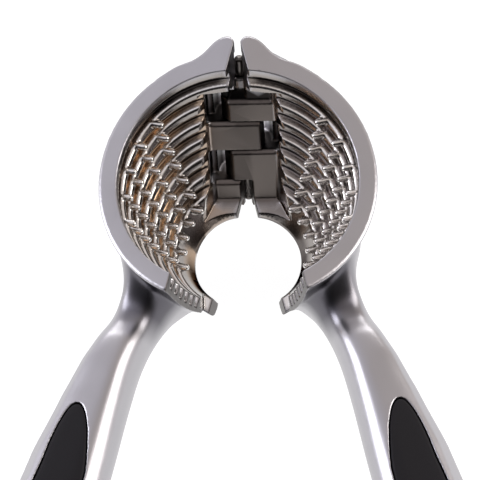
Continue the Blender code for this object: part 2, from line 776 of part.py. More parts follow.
def resting_tilt(points):
    """Tilt about X that lets the tool lie on its back: its lowest points front and rear level."""
    tilt = 0.0
    for _ in range(12):
        turn = Matrix.Rotation(tilt, 3, "X")
        turned = [turn @ point for point in points]
        head = min((p for p in turned if p.y > 0.0), key=lambda p: p.z)
        tail = min((p for p in turned if p.y < 0.5 * HANDLE_END), key=lambda p: p.z)
        tilt -= math.atan2(head.z - tail.z, head.y - tail.y)
    return tilt


def world_points(items):
    graph = bpy.context.evaluated_depsgraph_get()
    points = []
    for item in items:
        evaluated = item.evaluated_get(graph)
        points += [evaluated.matrix_world @ vertex.co for vertex in evaluated.data.vertices]
    return points


def lay_down(lying, items):
    """Tilt onto the back, then put the middle of the underside at the origin."""
    lying.matrix_world = Matrix.Rotation(resting_tilt(world_points(items)), 4, "X")
    bpy.context.view_layer.update()
    points = world_points(items)
    low = Vector([min(p[k] for p in points) for k in range(3)])
    high = Vector([max(p[k] for p in points) for k in range(3)])
    shift = Vector(((low.x + high.x) / 2.0, (low.y + high.y) / 2.0, low.z))
    lying.matrix_world = Matrix.Translation(-shift) @ lying.matrix_world
    bpy.context.view_layer.update()


def build():
    clear_scene()
    parts = make_collection("conical_nutcracker")
    cutters = make_collection("cutters")
    metal = make_material("satin_nickel_zinc", (0.60, 0.60, 0.62), 0.32, 1.0)
    steel = make_material("hinge_pin_steel", (0.42, 0.41, 0.40), 0.30, 1.0)
    soft = make_material("black_soft_inlay", (0.022, 0.021, 0.024), 0.55, 0.0)
    lying = bpy.data.objects.new("lying", None)
    parts.objects.link(lying)
    arms = []
    for label, side in (("left", LEFT), ("right", RIGHT)):
        empty = bpy.data.objects.new(label + "_hinge", None)
        empty.parent = lying
        empty.matrix_local = (Matrix.Translation(HINGE_POINT)
                              @ Matrix.Rotation(-side * HALF_OPENING, 4, HINGE_AXIS))
        parts.objects.link(empty)
        arm = Arm(label, side, empty, parts, cutters)
        build_arm(arm, metal)
        arms.append(arm)
    left, right = arms
    pin = finish_mesh("hinge_pin", pin_mesh(), LEFT, parts, left.empty)
    pin.data.materials.append(steel)
    items = [left.body, right.body, pin]
    for arm in arms:
        for face in ("front", "back"):
            items.append(add_grip(arm, face, soft))
    bpy.context.view_layer.update()
    lay_down(lying, items)


build()
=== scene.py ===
"""Looks of the conical nutcracker: two satin nickel castings on one steel pin, with black inlays.

Both castings are drawn closed, as on the mould maker's drawing: +X right, +Y from the handles to
the hinge, +Z out of the mouth, rims at z = 0 and parting plane at x = 0. Each is drawn as the left
one, the right one is its mirror image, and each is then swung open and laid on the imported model.
"""
import json
from math import atan2, copysign, cos, hypot, pi, radians, sin, sqrt, tan

import bmesh
import bpy
import numpy as np
from mathutils import Matrix, Vector


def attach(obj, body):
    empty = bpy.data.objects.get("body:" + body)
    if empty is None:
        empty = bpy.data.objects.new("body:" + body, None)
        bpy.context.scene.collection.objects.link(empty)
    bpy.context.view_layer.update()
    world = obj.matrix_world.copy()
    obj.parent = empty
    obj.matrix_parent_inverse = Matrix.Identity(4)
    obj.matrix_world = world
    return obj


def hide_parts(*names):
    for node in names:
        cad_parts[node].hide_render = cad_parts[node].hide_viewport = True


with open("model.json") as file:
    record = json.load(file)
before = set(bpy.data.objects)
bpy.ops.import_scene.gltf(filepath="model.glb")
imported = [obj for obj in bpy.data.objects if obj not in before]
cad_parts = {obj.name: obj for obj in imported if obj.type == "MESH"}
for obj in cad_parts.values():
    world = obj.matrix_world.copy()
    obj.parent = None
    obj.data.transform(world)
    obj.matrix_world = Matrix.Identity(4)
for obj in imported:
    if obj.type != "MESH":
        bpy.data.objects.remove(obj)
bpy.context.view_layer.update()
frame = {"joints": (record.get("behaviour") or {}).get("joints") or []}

MM = 0.001

# Cone: radii, depths and the way its circles slide, as on the casting drawing
CONE = {"Mouth Radius": 25.0 * MM, "Throat Radius": 10.45 * MM, "Throat Depth": 34.9 * MM,
        "Bulge": 1.52 * MM, "Throat Drop": 9.14 * MM, "Mouth Offset": 6.2 * MM,
        "Throat Offset": 3.16 * MM, "Land Lean Across": -0.2, "Land Lean Up": 0.1}
REAR_DEPTH = 36.6 * MM
REAR_SLOPE = 0.11
WALL, REAR_WALL = 4.0 * MM, 3.3 * MM
LIP_CHAMFER = 1.3 * MM
PARTING_GAP = 0.2 * MM
RIM_WIDTH, RIM_DEPTH, RIM_ROUND = 4.2 * MM, 2.4 * MM, 0.5 * MM
EAR_DEPTH, EAR_HEIGHT, EAR_WIDTH = 6.5 * MM, 32.3 * MM, 6.6 * MM
PASS = 3.0 * MM

# The ear's outline, as shares of its width and height
EAR_OUTLINE = ((-1.82, 0.712), (-1.29, 0.783), (-1.0, 0.846), (-0.74, 0.934), (-0.5, 0.983),
               (-0.27, 1.0), (-0.08, 0.99), (0.0, 0.968))

# Ridges and pegs. Where the grooves run out they are deeper, round a share of the whole turn.
RIDGE_COUNT, RIDGE_PITCH, FIRST_RIDGE = 7, 4.0 * MM, 5.2 * MM
RIDGE_WIDTH, RIDGE_ROUND = 1.5 * MM, 0.5 * MM
GROOVE_DEPTH, GROOVE_SLOPE = 1.9 * MM, 1.0 * MM
GROOVE_MOUTH, MOUTH_TURN, MOUTH_SPREAD = 1.45, 0.75, 0.09
PEGS = {"Columns": 5, "Rows": RIDGE_COUNT, "Column Step": radians(15.0), "First Row": FIRST_RIDGE,
        "Row Pitch": RIDGE_PITCH, "Peg Radius": 0.84 * MM, "Peg Reach": 2.2 * MM, "Peg Tip": 0.75 * MM,
        "Peg Root": 1.6 * MM}

# Hinge
HINGE_HEIGHT = 33.4 * MM
HINGE_SLOPE = radians(34.1)
HALF_OPENING = radians(17.8)
WIDEST_SWING = radians(66.0)
KNUCKLE_RADIUS, KNUCKLE_FACE = 4.6 * MM, 4.0 * MM
KNUCKLE_CLEARANCE, KNUCKLE_BEVEL = 0.35 * MM, 0.8 * MM
KNUCKLE_LAST = REAR_DEPTH / cos(HINGE_SLOPE) + 3.1 * MM
KNUCKLE_EDGES = (16.5 * MM, 22.65 * MM, 30.75 * MM, 39.35 * MM, KNUCKLE_LAST)
KNUCKLE_ROOT, KNUCKLE_LIFT, KNUCKLE_SEAT = 0.3 * MM, 0.6 * MM, 0.05 * MM
NOSE_RADIUS, NOSE_START = 2.6 * MM, 11.5 * MM
PIN_RADIUS, PIN_CLEARANCE = 1.1 * MM, 0.3 * MM
PIN_START, PIN_END, PIN_DOME, PIN_SIDES = 6.8 * MM, KNUCKLE_LAST - 0.3 * MM, 0.9 * MM, 96
KNURL_START, KNURL_END, KNURL_FADE, KNURL_STEP = 41.9 * MM, 46.2 * MM, 0.4 * MM, 0.06 * MM
KNURL_CUTS, KNURL_LEAD, KNURL_DEPTH = 6.0, 2.4 * MM, 0.1
BLOCK_START, BLOCK_WIDTH, BLOCK_DROP = 8.0 * MM, 13.0 * MM, 9.5 * MM
POCKET_REACH, RECESS_REACH = 8.0 * MM, 6.9 * MM
FACE_ROOT = -RECESS_REACH - KNUCKLE_ROOT
RECESS_START, RECESS_FLARE, FLARE_RISE, RECESS_STATIONS = 12.5 * MM, 3.0 * MM, 2.5 * MM, 24
FACE_EDGES = {"left": 3.9 * MM, "right": 2.75 * MM}
RAMP_START, RAMP_CORNER = 14.2 * MM, 0.9 * MM
SHELF_DEPTH = 34.3 * MM
REAR_STEP = 2.8 * MM
EAR_RECESS_START, EAR_RECESS_RADIUS = 4.5 * MM, 2.0 * MM
REAR_WRAP = radians(20.0)

# Handle: y, outer edge, inner edge, front, back, in millimetres
HANDLE_ROWS = [
    (-18.0, -16.5, 2.0, 1.5, 33.0), (-23.0, -14.2, 0.4, 3.0, 32.0), (-26.5, -13.4, -1.7, 5.7, 29.0),
    (-30.0, -13.8, -3.4, 8.2, 26.0), (-34.0, -14.5, -4.5, 8.8, 23.6), (-39.0, -15.8, -5.1, 6.4, 21.4),
    (-45.0, -17.5, -5.5, 5.1, 20.2), (-54.0, -19.8, -5.6, 5.0, 20.0), (-68.0, -23.2, -5.4, 5.0, 20.0),
    (-92.0, -26.5, -5.6, 5.0, 20.0), (-118.0, -27.4, -6.3, 5.2, 19.8), (-140.0, -26.2, -7.5, 5.8, 19.2),
    (-157.0, -23.6, -9.5, 6.6, 18.4)]
HANDLE_CAP, HANDLE_SIDES = 7.0 * MM, 96
INNER_ROUNDNESS, OUTER_SQUARENESS = 2.2, 4.6
# The crease along the outer side widens towards the handle's end
CREASE_WIDTH, CREASE_SPREAD, CREASE_START, CREASE_STEEPNESS = 2.2 * MM, 0.035, 45.0 * MM, 1.1
# The inlay's point and blunt end, and where its lean has gone, are shares of its length
GRIP_TOP, GRIP_BOTTOM, GRIP_WIDTH = -55.9 * MM, -143.0 * MM, 12.4 * MM
GRIP_POINT, GRIP_END, GRIP_SETTLED, GRIP_STATIONS = 0.42, 0.28, 0.16, 48
GRIP_LEAN, GRIP_SHIFT = 1.7 * MM, 0.3 * MM
GRIP_FLOORS, GRIP_OUTSIDE = {"front": 8.2 * MM, "back": 16.8 * MM}, 26.0 * MM
GRIP_CLEARANCE = 0.3 * MM

# Facets round the cone, grain of the recast skins in millimetres, rounds of easing and triangles
TURNS = 168
BLANK_GRAIN, CASTING_GRAIN, INLAY_GRAIN = ((0.42, 0.22, 0.3))
BLANK_ROUNDS, CASTING_ROUNDS, INLAY_ROUNDS = ((24, 3, 4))
CASTING_TRIANGLES, INLAY_TRIANGLES = 185000, 40000

HINGE_POINT = Vector((0.0, HINGE_HEIGHT, 0.0))
HINGE_AXIS = Vector((0.0, -sin(HINGE_SLOPE), -cos(HINGE_SLOPE)))
HINGE_OUT = Vector((0.0, cos(HINGE_SLOPE), -sin(HINGE_SLOPE)))


def lying_matrix():
    """From the drawing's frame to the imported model, which lies tilted on its back."""
    joint = frame["joints"][0]
    axis = joint["axis"]
    tilt = HINGE_SLOPE - atan2(axis[1], axis[2])
    turn = Matrix.Rotation(tilt, 4, "X")
    return Matrix.Translation(Vector(joint["pos_m"]) - turn @ HINGE_POINT) @ turn


LYING = lying_matrix()


def linear(code):
    """A colour from its sRGB hex code."""
    parts = [int(code[i:i + 2], 16) / 255.0 for i in (0, 2, 4)]
    return [c / 12.92 if c <= 0.04045 else ((c + 0.055) / 1.055) ** 2.4 for c in parts] + [1.0]


def add_node(tree, kind, links=None, **settings):
    """Adds one node: its settings, then each input as a plain value or a socket to link."""
    node = tree.nodes.new(kind)
    for key, value in settings.items():
        setattr(node, key, value)
    for key, value in (links or {}).items():
        if isinstance(value, bpy.types.NodeSocket):
            tree.links.new(value, node.inputs[key])
        else:
            node.inputs[key].default_value = value
    return node


def mixed_colour(tree, factor, *colours):
    """From the first colour to the second, each a socket or an sRGB hex code."""
    first, second = (linear(colour) if isinstance(colour, str) else colour for colour in colours)
    return add_node(tree, "ShaderNodeMix", {0: factor, 6: first, 7: second}, data_type="RGBA").outputs[2]


def mixed_value(tree, factor, first, second):
    """From the first value to the second."""
    return add_node(tree, "ShaderNodeMix", {0: factor, 2: first, 3: second}).outputs[0]


def stretched(tree, value, low, high, source=(0.0, 1.0), **settings):
    """A value stretched from the source's range to the one from low to high."""
    return add_node(tree, "ShaderNodeMapRange", {
        "Value": value, "From Min": source[0], "From Max": source[1], "To Min": low, "To Max": high},
        **settings).outputs["Result"]


def worked(tree, operation, *terms):
    """One Math node."""
    return add_node(tree, "ShaderNodeMath", dict(enumerate(terms)), operation=operation).outputs[0]


def noise(tree, scale, **inputs):
    """Noise that is fixed to the piece, with its scale in waves to the metre."""
    place = add_node(tree, "ShaderNodeTexCoord").outputs["Object"]
    texture = add_node(tree, "ShaderNodeTexNoise", {"Vector": place, "Scale": scale, **inputs})
    return texture.outputs["Fac"]


def new_material(name):
    """An empty material and its tree."""
    material = bpy.data.materials.new(name)
    material.use_nodes = True
    material.node_tree.nodes.clear()
    return material, material.node_tree


def surfaced(material, inputs):
    """Ends a material with its shader."""
    shader = add_node(material.node_tree, "ShaderNodeBsdfPrincipled", inputs)
    add_node(material.node_tree, "ShaderNodeOutputMaterial", {"Surface": shader.outputs["BSDF"]})
    return material


def satin_nickel():
    """Zinc die-casting under satin nickel plating.

    Outside it was tumbled and brushed, which gives soft, slightly cloudy reflections. The cone was
    polished before plating, which gives sharp ones. Its grooves get painted shade, grey on the right,
    and a warm brown painted reflection on the left. The hinge's faces are dull and get painted shade;
    the pits by the knuckles and the hollow by the handle get painted shade, ridge edges painted
    highlights.
    """
    material, tree = new_material("satin_nickel_plated_casting")
    zones = {name: add_node(tree, "ShaderNodeAttribute", attribute_name=name).outputs["Fac"]
             for name in ("polished", "groove", "gutter_shade", "warmth", "painted_highlight", "dull_and_painted_shade", "pit_shade", "hollow")}
    # Painted shade and reflection in the grooves: grey, warm brown, and nearly black in the gutters
    groove_shade_and_reflection = mixed_colour(tree, zones["warmth"], "8A8383", "C6A88B")
    groove_shade_and_reflection = mixed_colour(tree, zones["gutter_shade"], groove_shade_and_reflection, "3A3534")
    inside = mixed_colour(tree, zones["groove"], "9E9894", groove_shade_and_reflection)
    # Handling leaves the outside a little uneven over some 10 mm
    cloud = noise(tree, 90.0, Detail=3.0)
    outside = mixed_colour(tree, cloud, "B2B0B4", "BAB8BB")
    # Painted shade in the hollow between rim and handle
    outside = mixed_colour(tree, zones["hollow"], outside, "66646A")
    colour = mixed_colour(tree, zones["polished"], outside, inside)
    # Painted highlights on the ridges' front edges, the pegs and the grooves' lower ends, and painted
    # shade on the hinge's dull faces and in the pits beside the knuckles
    for name, code in (("dull_and_painted_shade", "726B67"), ("painted_highlight", "F6F3F0"), ("pit_shade", "2C2928")):
        colour = mixed_colour(tree, zones[name], colour, code)
    rough = mixed_value(tree, zones["polished"], stretched(tree, cloud, 0.3, 0.37), 0.17)
    rough = mixed_value(tree, zones["dull_and_painted_shade"], rough, 0.36)
    # Tumbling marks of about 0.4 mm
    grain = noise(tree, 2600.0)
    bump = add_node(tree, "ShaderNodeBump", {"Height": grain, "Strength": 0.15, "Distance": 0.02 * MM})
    # The painted shade in the gutters also darkens their reflections at grazing angles
    edge = mixed_colour(tree, zones["gutter_shade"], "FFFFFF", "4A4644")
    return surfaced(material, {"Base Color": colour, "Metallic": 1.0, "Roughness": rough,
                               "Specular Tint": edge, "Normal": bump.outputs["Normal"]})


def drawn_steel():
    """Drawn and knurled steel pin: fine streaks, a little darker than the plating."""
    material, tree = new_material("drawn_steel_pin")
    rough = stretched(tree, noise(tree, 700.0), 0.22, 0.4)
    return surfaced(material, {"Base Color": linear("6E6A67"), "Metallic": 1.0, "Roughness": rough})


def soft_plastic():
    """Black thermoplastic rubber, moulded with a fine matte grain that takes the shine away."""
    material, tree = new_material("matte_black_moulded_rubber")
    grain = noise(tree, 3200.0)
    bump = add_node(tree, "ShaderNodeBump", {"Height": grain, "Strength": 0.25, "Distance": 0.03 * MM})
    rough = stretched(tree, grain, 0.55, 0.7)
    return surfaced(material, {"Base Color": linear("1E1C1F"), "Roughness": rough,
                               "Specular IOR Level": 0.2, "Normal": bump.outputs["Normal"]})


METAL = satin_nickel()
STEEL = drawn_steel()
INLAY = soft_plastic()


def new_tree(name, sizes):
    """An empty Geometry Nodes tree with a geometry input, named sizes and a material input."""
    tree = bpy.data.node_groups.new(name, "GeometryNodeTree")
    tree.interface.new_socket("Strip", in_out="INPUT", socket_type="NodeSocketGeometry")
    for label, value in sizes.items():
        kind = "NodeSocketInt" if isinstance(value, int) else "NodeSocketFloat"
        tree.interface.new_socket(label, in_out="INPUT", socket_type=kind).default_value = value
    tree.interface.new_socket("Finish", in_out="INPUT", socket_type="NodeSocketMaterial")
    tree.interface.new_socket("Piece", in_out="OUTPUT", socket_type="NodeSocketGeometry")
    start = tree.nodes.new("NodeGroupInput")
    return tree, {socket.name: socket for socket in start.outputs if socket.name}


def work_out(tree, values, steps):
    """Adds one Math node for each step: a new value's name, the operation and what goes in."""
    for name, operation, *terms in steps:
        terms = [values.get(term, term) if isinstance(term, str) else term for term in terms]
        values[name] = worked(tree, operation, *terms)


def formed(tree, kind, inputs=None, **settings):
    """What one geometry node makes."""
    return add_node(tree, "GeometryNode" + kind, inputs, **settings).outputs[0]


def vector(tree, *parts):
    """A vector put together from its x, y and z. Those left out are 0."""
    return add_node(tree, "ShaderNodeCombineXYZ", dict(enumerate(parts))).outputs[0]


def close_tree(tree, values, geometry):
    """Ends a tree: plain geometry in the finish that was asked for."""
    whole = formed(tree, "RealizeInstances", {"Geometry": geometry})
    finished = formed(tree, "SetMaterial", {"Geometry": whole, "Material": values["Finish"]})
    add_node(tree, "NodeGroupOutput", {0: finished})
    return tree


def rolling_tree():
    """Rolls a flat strip into the oblique cone.

    x is the turn, y the depth and z the height over the ridges' crests.
    """
    sizes = {**CONE, "Slant From": 1.0, "Rear Slope": REAR_SLOPE}
    tree, values = new_tree("roll_into_cone", sizes)
    flat = add_node(tree, "ShaderNodeSeparateXYZ", {0: formed(tree, "InputPosition")})
    values.update(turn=flat.outputs["X"], depth=flat.outputs["Y"], height=flat.outputs["Z"])
    work_out(tree, values, [
        ("way in", "DIVIDE", "depth", "Throat Depth"), ("t", "MINIMUM", "way in", 1.0),
        ("beyond", "SUBTRACT", "depth", "Throat Depth"), ("past", "MAXIMUM", "beyond", 0.0),
        ("narrowing", "SUBTRACT", "Throat Radius", "Mouth Radius"),
        ("straight", "MULTIPLY_ADD", "narrowing", "t", "Mouth Radius"),
        ("rest", "SUBTRACT", 1.0, "t"), ("hump", "MULTIPLY", "t", "rest"),
        ("swell", "MULTIPLY", "hump", 4.0), ("crest", "MULTIPLY_ADD", "swell", "Bulge", "straight"),
        ("reach", "ADD", "crest", "height"), ("radius", "MAXIMUM", "reach", 0.0),
        ("slide", "SUBTRACT", "Throat Offset", "Mouth Offset"),
        ("offset", "MULTIPLY_ADD", "slide", "t", "Mouth Offset"),
        ("across", "MULTIPLY_ADD", "past", "Land Lean Across", "offset"),
        ("fall", "MULTIPLY", "t", "Throat Drop"), ("sunk", "MULTIPLY", "fall", -1.0),
        ("up", "MULTIPLY_ADD", "past", "Land Lean Up", "sunk"),
        ("cosine", "COSINE", "turn"), ("sine", "SINE", "turn"),
        ("x", "MULTIPLY_ADD", "radius", "cosine", "across"),
        ("y", "MULTIPLY_ADD", "radius", "sine", "up"),
        ("below", "MULTIPLY", "depth", -1.0), ("slanted", "GREATER_THAN", "depth", "Slant From"),
        ("slope", "MULTIPLY", "slanted", "Rear Slope"), ("z", "MULTIPLY_ADD", "y", "slope", "below")])
    place = vector(tree, *(values[axis] for axis in "xyz"))
    rolled = formed(tree, "SetPosition", {"Geometry": values["Strip"], "Position": place})
    closed = formed(tree, "MergeByDistance", {"Geometry": rolled, "Distance": 0.002 * MM})
    return close_tree(tree, values, closed)


def peg_tree(roll):
    """Rows of round-ended pegs on the ridges' crests, all pointing at the other casting."""
    tree, values = new_tree("peg_rows", PEGS)
    values["index"] = formed(tree, "InputIndex")
    work_out(tree, values, [
        ("count", "MULTIPLY", "Columns", "Rows"), ("column", "MODULO", "index", "Columns"),
        ("whole rows", "DIVIDE", "index", "Columns"), ("row", "FLOOR", "whole rows"),
        ("last", "SUBTRACT", "Columns", 1.0), ("middle", "DIVIDE", "last", 2.0),
        ("from middle", "SUBTRACT", "middle", "column"),
        ("turn", "MULTIPLY_ADD", "from middle", "Column Step", pi),
        ("depth", "MULTIPLY_ADD", "row", "Row Pitch", "First Row"),
        ("tip centre", "SUBTRACT", "Peg Reach", "Peg Tip"), ("length", "ADD", "tip centre", "Peg Root"),
        ("far", "SUBTRACT", "tip centre", "Peg Root"), ("body centre", "DIVIDE", "far", 2.0),
        ("tip shape", "DIVIDE", "Peg Tip", "Peg Radius")])
    place = vector(tree, values["turn"], values["depth"])
    points = formed(tree, "Points", {"Count": values["count"], "Position": place})
    rolled = formed(tree, "Group", {"Strip": points}, node_tree=roll)
    peg = add_node(tree, "GeometryNodeJoinGeometry")
    for kind, inputs, middle, stretch, turn in (
            ("MeshCylinder", {"Vertices": 14, "Depth": values["length"]}, "body centre", 1.0, pi / 2.0),
            ("MeshUVSphere", {"Segments": 14, "Rings": 8}, "tip centre", values["tip shape"], 0.0)):
        part = formed(tree, kind, {"Radius": values["Peg Radius"], **inputs})
        part = formed(tree, "Transform", {
            "Geometry": part, "Translation": vector(tree, values[middle]),
            "Rotation": (0.0, turn, 0.0), "Scale": vector(tree, stretch, 1.0, 1.0)})
        tree.links.new(part, peg.inputs[0])
    pegs = formed(tree, "InstanceOnPoints", {"Points": rolled, "Instance": peg.outputs[0]})
    return close_tree(tree, values, pegs)


ROLL = rolling_tree()
PEG_ROWS = peg_tree(ROLL)


def evaluated(item):
    """What an object's modifiers make of it, as a plain mesh. The object is used up."""
    graph = bpy.context.evaluated_depsgraph_get()
    mesh = bpy.data.meshes.new_from_object(item.evaluated_get(graph), depsgraph=graph)
    bpy.data.objects.remove(item)
    return mesh


def brought_in(name, data):
    """A new object in the scene for a mesh, a lamp or a camera."""
    item = bpy.data.objects.new(name, data)
    bpy.context.scene.collection.objects.link(item)
    return item


def modified(mesh, kind, **settings):
    """What one modifier makes of a mesh."""
    item = brought_in(mesh.name, mesh)
    modifier = item.modifiers.new(kind.lower(), kind)
    for key, value in settings.items():
        setattr(modifier, key, value)
    return evaluated(item)


def from_tree(tree, mesh, sizes):
    """Runs a tree on a mesh with the given sizes."""
    item = brought_in(mesh.name, mesh)
    modifier = item.modifiers.new(tree.name, "NODES")
    modifier.node_group = tree
    for socket in tree.interface.items_tree:
        if socket.in_out == "INPUT" and socket.name in sizes:
            modifier[socket.identifier] = sizes[socket.name]
        elif socket.in_out == "INPUT" and socket.name == "Finish":
            modifier[socket.identifier] = METAL
    return outward(evaluated(item))


def outward(mesh):
    """Turns all faces outwards."""
    bm = bmesh.new()
    bm.from_mesh(mesh)
    bmesh.ops.recalc_face_normals(bm, faces=bm.faces)
    bm.to_mesh(mesh)
    bm.free()
    return mesh


def shell(name, rings):
    """A closed skin over rings that all have the same number of points."""
    count = len(rings[0])
    points = [tuple(point) for ring in rings for point in ring]
    faces = [(i * count + j, i * count + (j + 1) % count, (i + 1) * count + (j + 1) % count,
              (i + 1) * count + j) for i in range(len(rings) - 1) for j in range(count)]
    faces += [tuple(range(count)), tuple(range(len(points) - count, len(points)))]
    mesh = bpy.data.meshes.new(name)
    mesh.from_pydata(points, [], faces)
    return outward(mesh)


def carve(mesh, operation, tool):
    """One cut, join or overlap of two closed shells."""
    other = brought_in(tool.name, tool)
    result = modified(mesh, "BOOLEAN", operation=operation, solver="MANIFOLD", object=other)
    bpy.data.objects.remove(other)
    return result


def joined(meshes):
    """Shells put into one mesh, still overlapping."""
    bm = bmesh.new()
    for mesh in meshes:
        bm.from_mesh(mesh)
    whole = bpy.data.meshes.new("joined")
    bm.to_mesh(whole)
    bm.free()
    return whole


def recast(mesh, grain):
    """Skins overlapping shells with one even, closed surface."""
    return modified(mesh, "REMESH", mode="VOXEL", voxel_size=grain)


def points_of(mesh):
    """A mesh's points as rows of x, y and z."""
    places = np.empty(len(mesh.vertices) * 3)
    mesh.vertices.foreach_get("co", places)
    return places.reshape(-1, 3)


def ease(mesh, rounds, strength=0.5):
    """Rounds edges and inner corners off, as casting and tumbling do."""
    places = points_of(mesh)
    count = len(places)
    ends = np.empty(len(mesh.edges) * 2, dtype=np.int64)
    mesh.edges.foreach_get("vertices", ends)
    ends = ends.reshape(-1, 2)
    near, far = ends[:, 0], ends[:, 1]
    neighbours = np.bincount(ends.ravel(), minlength=count)
    for _ in range(rounds):
        middle = np.stack([(np.bincount(near, places[far, k], count)
                            + np.bincount(far, places[near, k], count)) / neighbours
                           for k in range(3)], axis=1)
        places += (middle - places) * (strength if np.isscalar(strength) else strength[:, None])
    mesh.vertices.foreach_set("co", places.ravel())
    mesh.update()
    return mesh


def thinned(mesh, triangles):
    """Fewer triangles where the surface is nearly flat."""
    return modified(mesh, "DECIMATE", ratio=min(1.0, triangles / (2.0 * len(mesh.polygons))))


def crest_radius(depth):
    """Inner radius of the jaw at a depth behind the rim, on the ridges' crests."""
    t = np.minimum(depth / CONE["Throat Depth"], 1.0)
    straight = CONE["Mouth Radius"] + (CONE["Throat Radius"] - CONE["Mouth Radius"]) * t
    return straight + CONE["Bulge"] * 4.0 * t * (1.0 - t)


def circle_centre(depth):
    """The jaw's circles slide towards the handles and the parting plane with depth."""
    t = np.minimum(depth / CONE["Throat Depth"], 1.0)
    past = np.maximum(depth - CONE["Throat Depth"], 0.0)
    slide = CONE["Throat Offset"] - CONE["Mouth Offset"]
    return (CONE["Mouth Offset"] + slide * t + CONE["Land Lean Across"] * past,
            -CONE["Throat Drop"] * t + CONE["Land Lean Up"] * past)


def hinge_place(x, out, along):
    """A point in the hinge's own directions: across, away from the jaw, down the pin."""
    return Vector((x, 0.0, 0.0)) + HINGE_POINT + HINGE_OUT * out + HINGE_AXIS * along


def turned_to_open(x, out):
    """Turn a point about the pin, so that it lies square once this arm is swung open."""
    c, s = cos(HALF_OPENING), sin(HALF_OPENING)
    return c * x - s * out, s * x + c * out


def arc(radius, first, last, steps):
    """Points round the pin from the first turn to the last."""
    turns = [first + (last - first) * i / steps for i in range(steps + 1)]
    return [(radius * cos(turn), radius * sin(turn)) for turn in turns]


def quarter_round(count):
    """Points of a rounded edge, as shares of its radius: how far back, and how far in."""
    return [(1.0 - cos(turn), 1.0 - sin(turn)) for turn in np.linspace(0.0, pi / 2.0, count)]


def hinge_prism(name, outline, start, end):
    """An outline drawn across the pin, as (across, out) pairs, run down the pin."""
    return shell(name, [[hinge_place(x, out, along) for x, out in outline] for along in (start, end)])


def smooth_path(points, per_span):
    """Points along a Catmull-Rom curve through the given ones, ends included."""
    path = []
    for i in range(len(points) - 1):
        quad = (points[max(i - 1, 0)], points[i], points[i + 1], points[min(i + 2, len(points) - 1)])
        for step in range(per_span):
            t = step / per_span
            path.append(tuple(0.5 * (2.0 * b + (c - a) * t + (2.0 * a - 5.0 * b + 4.0 * c - d) * t * t
                                     + (3.0 * b - a - 3.0 * c + d) * t ** 3)
                              for a, b, c, d in zip(*quad)))
    path.append(tuple(points[-1]))
    return path


def rolled_solid(name, profile, slant_from=1.0):
    """A flat strip of (depth, height over the crest) rows, rolled into a closed solid."""
    columns = TURNS + 1
    # The grooves run out deeper at the lower parting faces
    deeper = [1.0 + (GROOVE_MOUTH - 1.0)
              * max(0.0, 1.0 - abs(c / TURNS - MOUTH_TURN) / MOUTH_SPREAD) ** 0.5
              for c in range(columns)]
    points = [(2.0 * pi * c / TURNS, depth, height * (deeper[c] if name == "ridged_hollow" else 1.0))
              for depth, height in profile for c in range(columns)]
    faces = [(r * columns + c, r * columns + c + 1, (r + 1) * columns + c + 1, (r + 1) * columns + c)
             for r in range(len(profile) - 1) for c in range(TURNS)]
    strip = bpy.data.meshes.new(name)
    strip.from_pydata(points, [], faces)
    return from_tree(ROLL, strip, {"Slant From": slant_from})


def outer_cone():
    """Rim with a rounded edge, then the wall that thins towards the small end, then its lip."""
    def wall(depth):
        return WALL + (REAR_WALL - WALL) * min(depth / CONE["Throat Depth"], 1.0)
    profile = [(0.0, -1.0)]
    for down, inset in quarter_round(6):
        depth = RIM_ROUND * down
        height = RIM_WIDTH - RIM_ROUND * inset + CONE["Mouth Radius"] - crest_radius(depth)
        profile.append((depth, height))
    last = REAR_DEPTH - LIP_CHAMFER
    profile += [(depth, wall(depth)) for depth in np.linspace(RIM_DEPTH, last, 26)]
    profile += [(REAR_DEPTH, wall(REAR_DEPTH) - LIP_CHAMFER), (REAR_DEPTH, -1.0)]
    return rolled_solid("outer_cone", profile, REAR_DEPTH - 1.5 * LIP_CHAMFER)


def ridged_hollow():
    """The hollow: a groove in front of every ridge, then a smooth throat."""
    beyond = REAR_DEPTH + 2.0 * PASS
    profile = [(-PASS, -1.0), (-PASS, 0.0)]
    for i in range(RIDGE_COUNT):
        ridge = FIRST_RIDGE + RIDGE_PITCH * i
        start, end = ridge - RIDGE_PITCH + RIDGE_WIDTH / 2.0, ridge - RIDGE_WIDTH / 2.0
        profile += [(start, 0.0), (start + 0.5 * GROOVE_SLOPE, 0.62 * GROOVE_DEPTH),
                    (start + GROOVE_SLOPE, GROOVE_DEPTH), (end - 0.1 * MM, GROOVE_DEPTH)]
        profile += [(end + RIDGE_ROUND * back, RIDGE_ROUND * height) for back, height in quarter_round(5)]
    last = FIRST_RIDGE + RIDGE_PITCH * (RIDGE_COUNT - 1) + RIDGE_WIDTH
    profile += [(depth, 0.0) for depth in (last, (last + CONE["Throat Depth"]) / 2.0,
                                           CONE["Throat Depth"], beyond)]
    profile.append((beyond, -1.0))
    return rolled_solid("ridged_hollow", profile)


def ear():
    """Flat plate behind the rim face that sweeps up from the rim to the ear's round top."""
    rim = CONE["Mouth Radius"] + RIM_WIDTH
    root_y = 0.66 * rim
    root_x = CONE["Mouth Offset"] - sqrt(rim ** 2 - root_y ** 2)
    edge = [(x * EAR_WIDTH, y * EAR_HEIGHT) for x, y in EAR_OUTLINE]
    outline = smooth_path([(root_x, root_y)] + edge, 8)
    outline += [(PASS, 0.95 * EAR_HEIGHT), (PASS, 0.768 * EAR_HEIGHT),
                (root_x + PASS, root_y - 0.5 * PASS)]
    centre = Vector((-0.3 * EAR_WIDTH, 0.815 * EAR_HEIGHT))
    spokes = [Vector(point) - centre for point in outline]
    rings = []
    for down, inset in quarter_round(5):
        rings.append([(*(centre + spoke * (1.0 - RIM_ROUND * inset / spoke.length)), -RIM_ROUND * down)
                      for spoke in spokes])
    rings.append([(x, y, -EAR_DEPTH) for x, y, _ in rings[-1]])
    return shell("ear", rings)


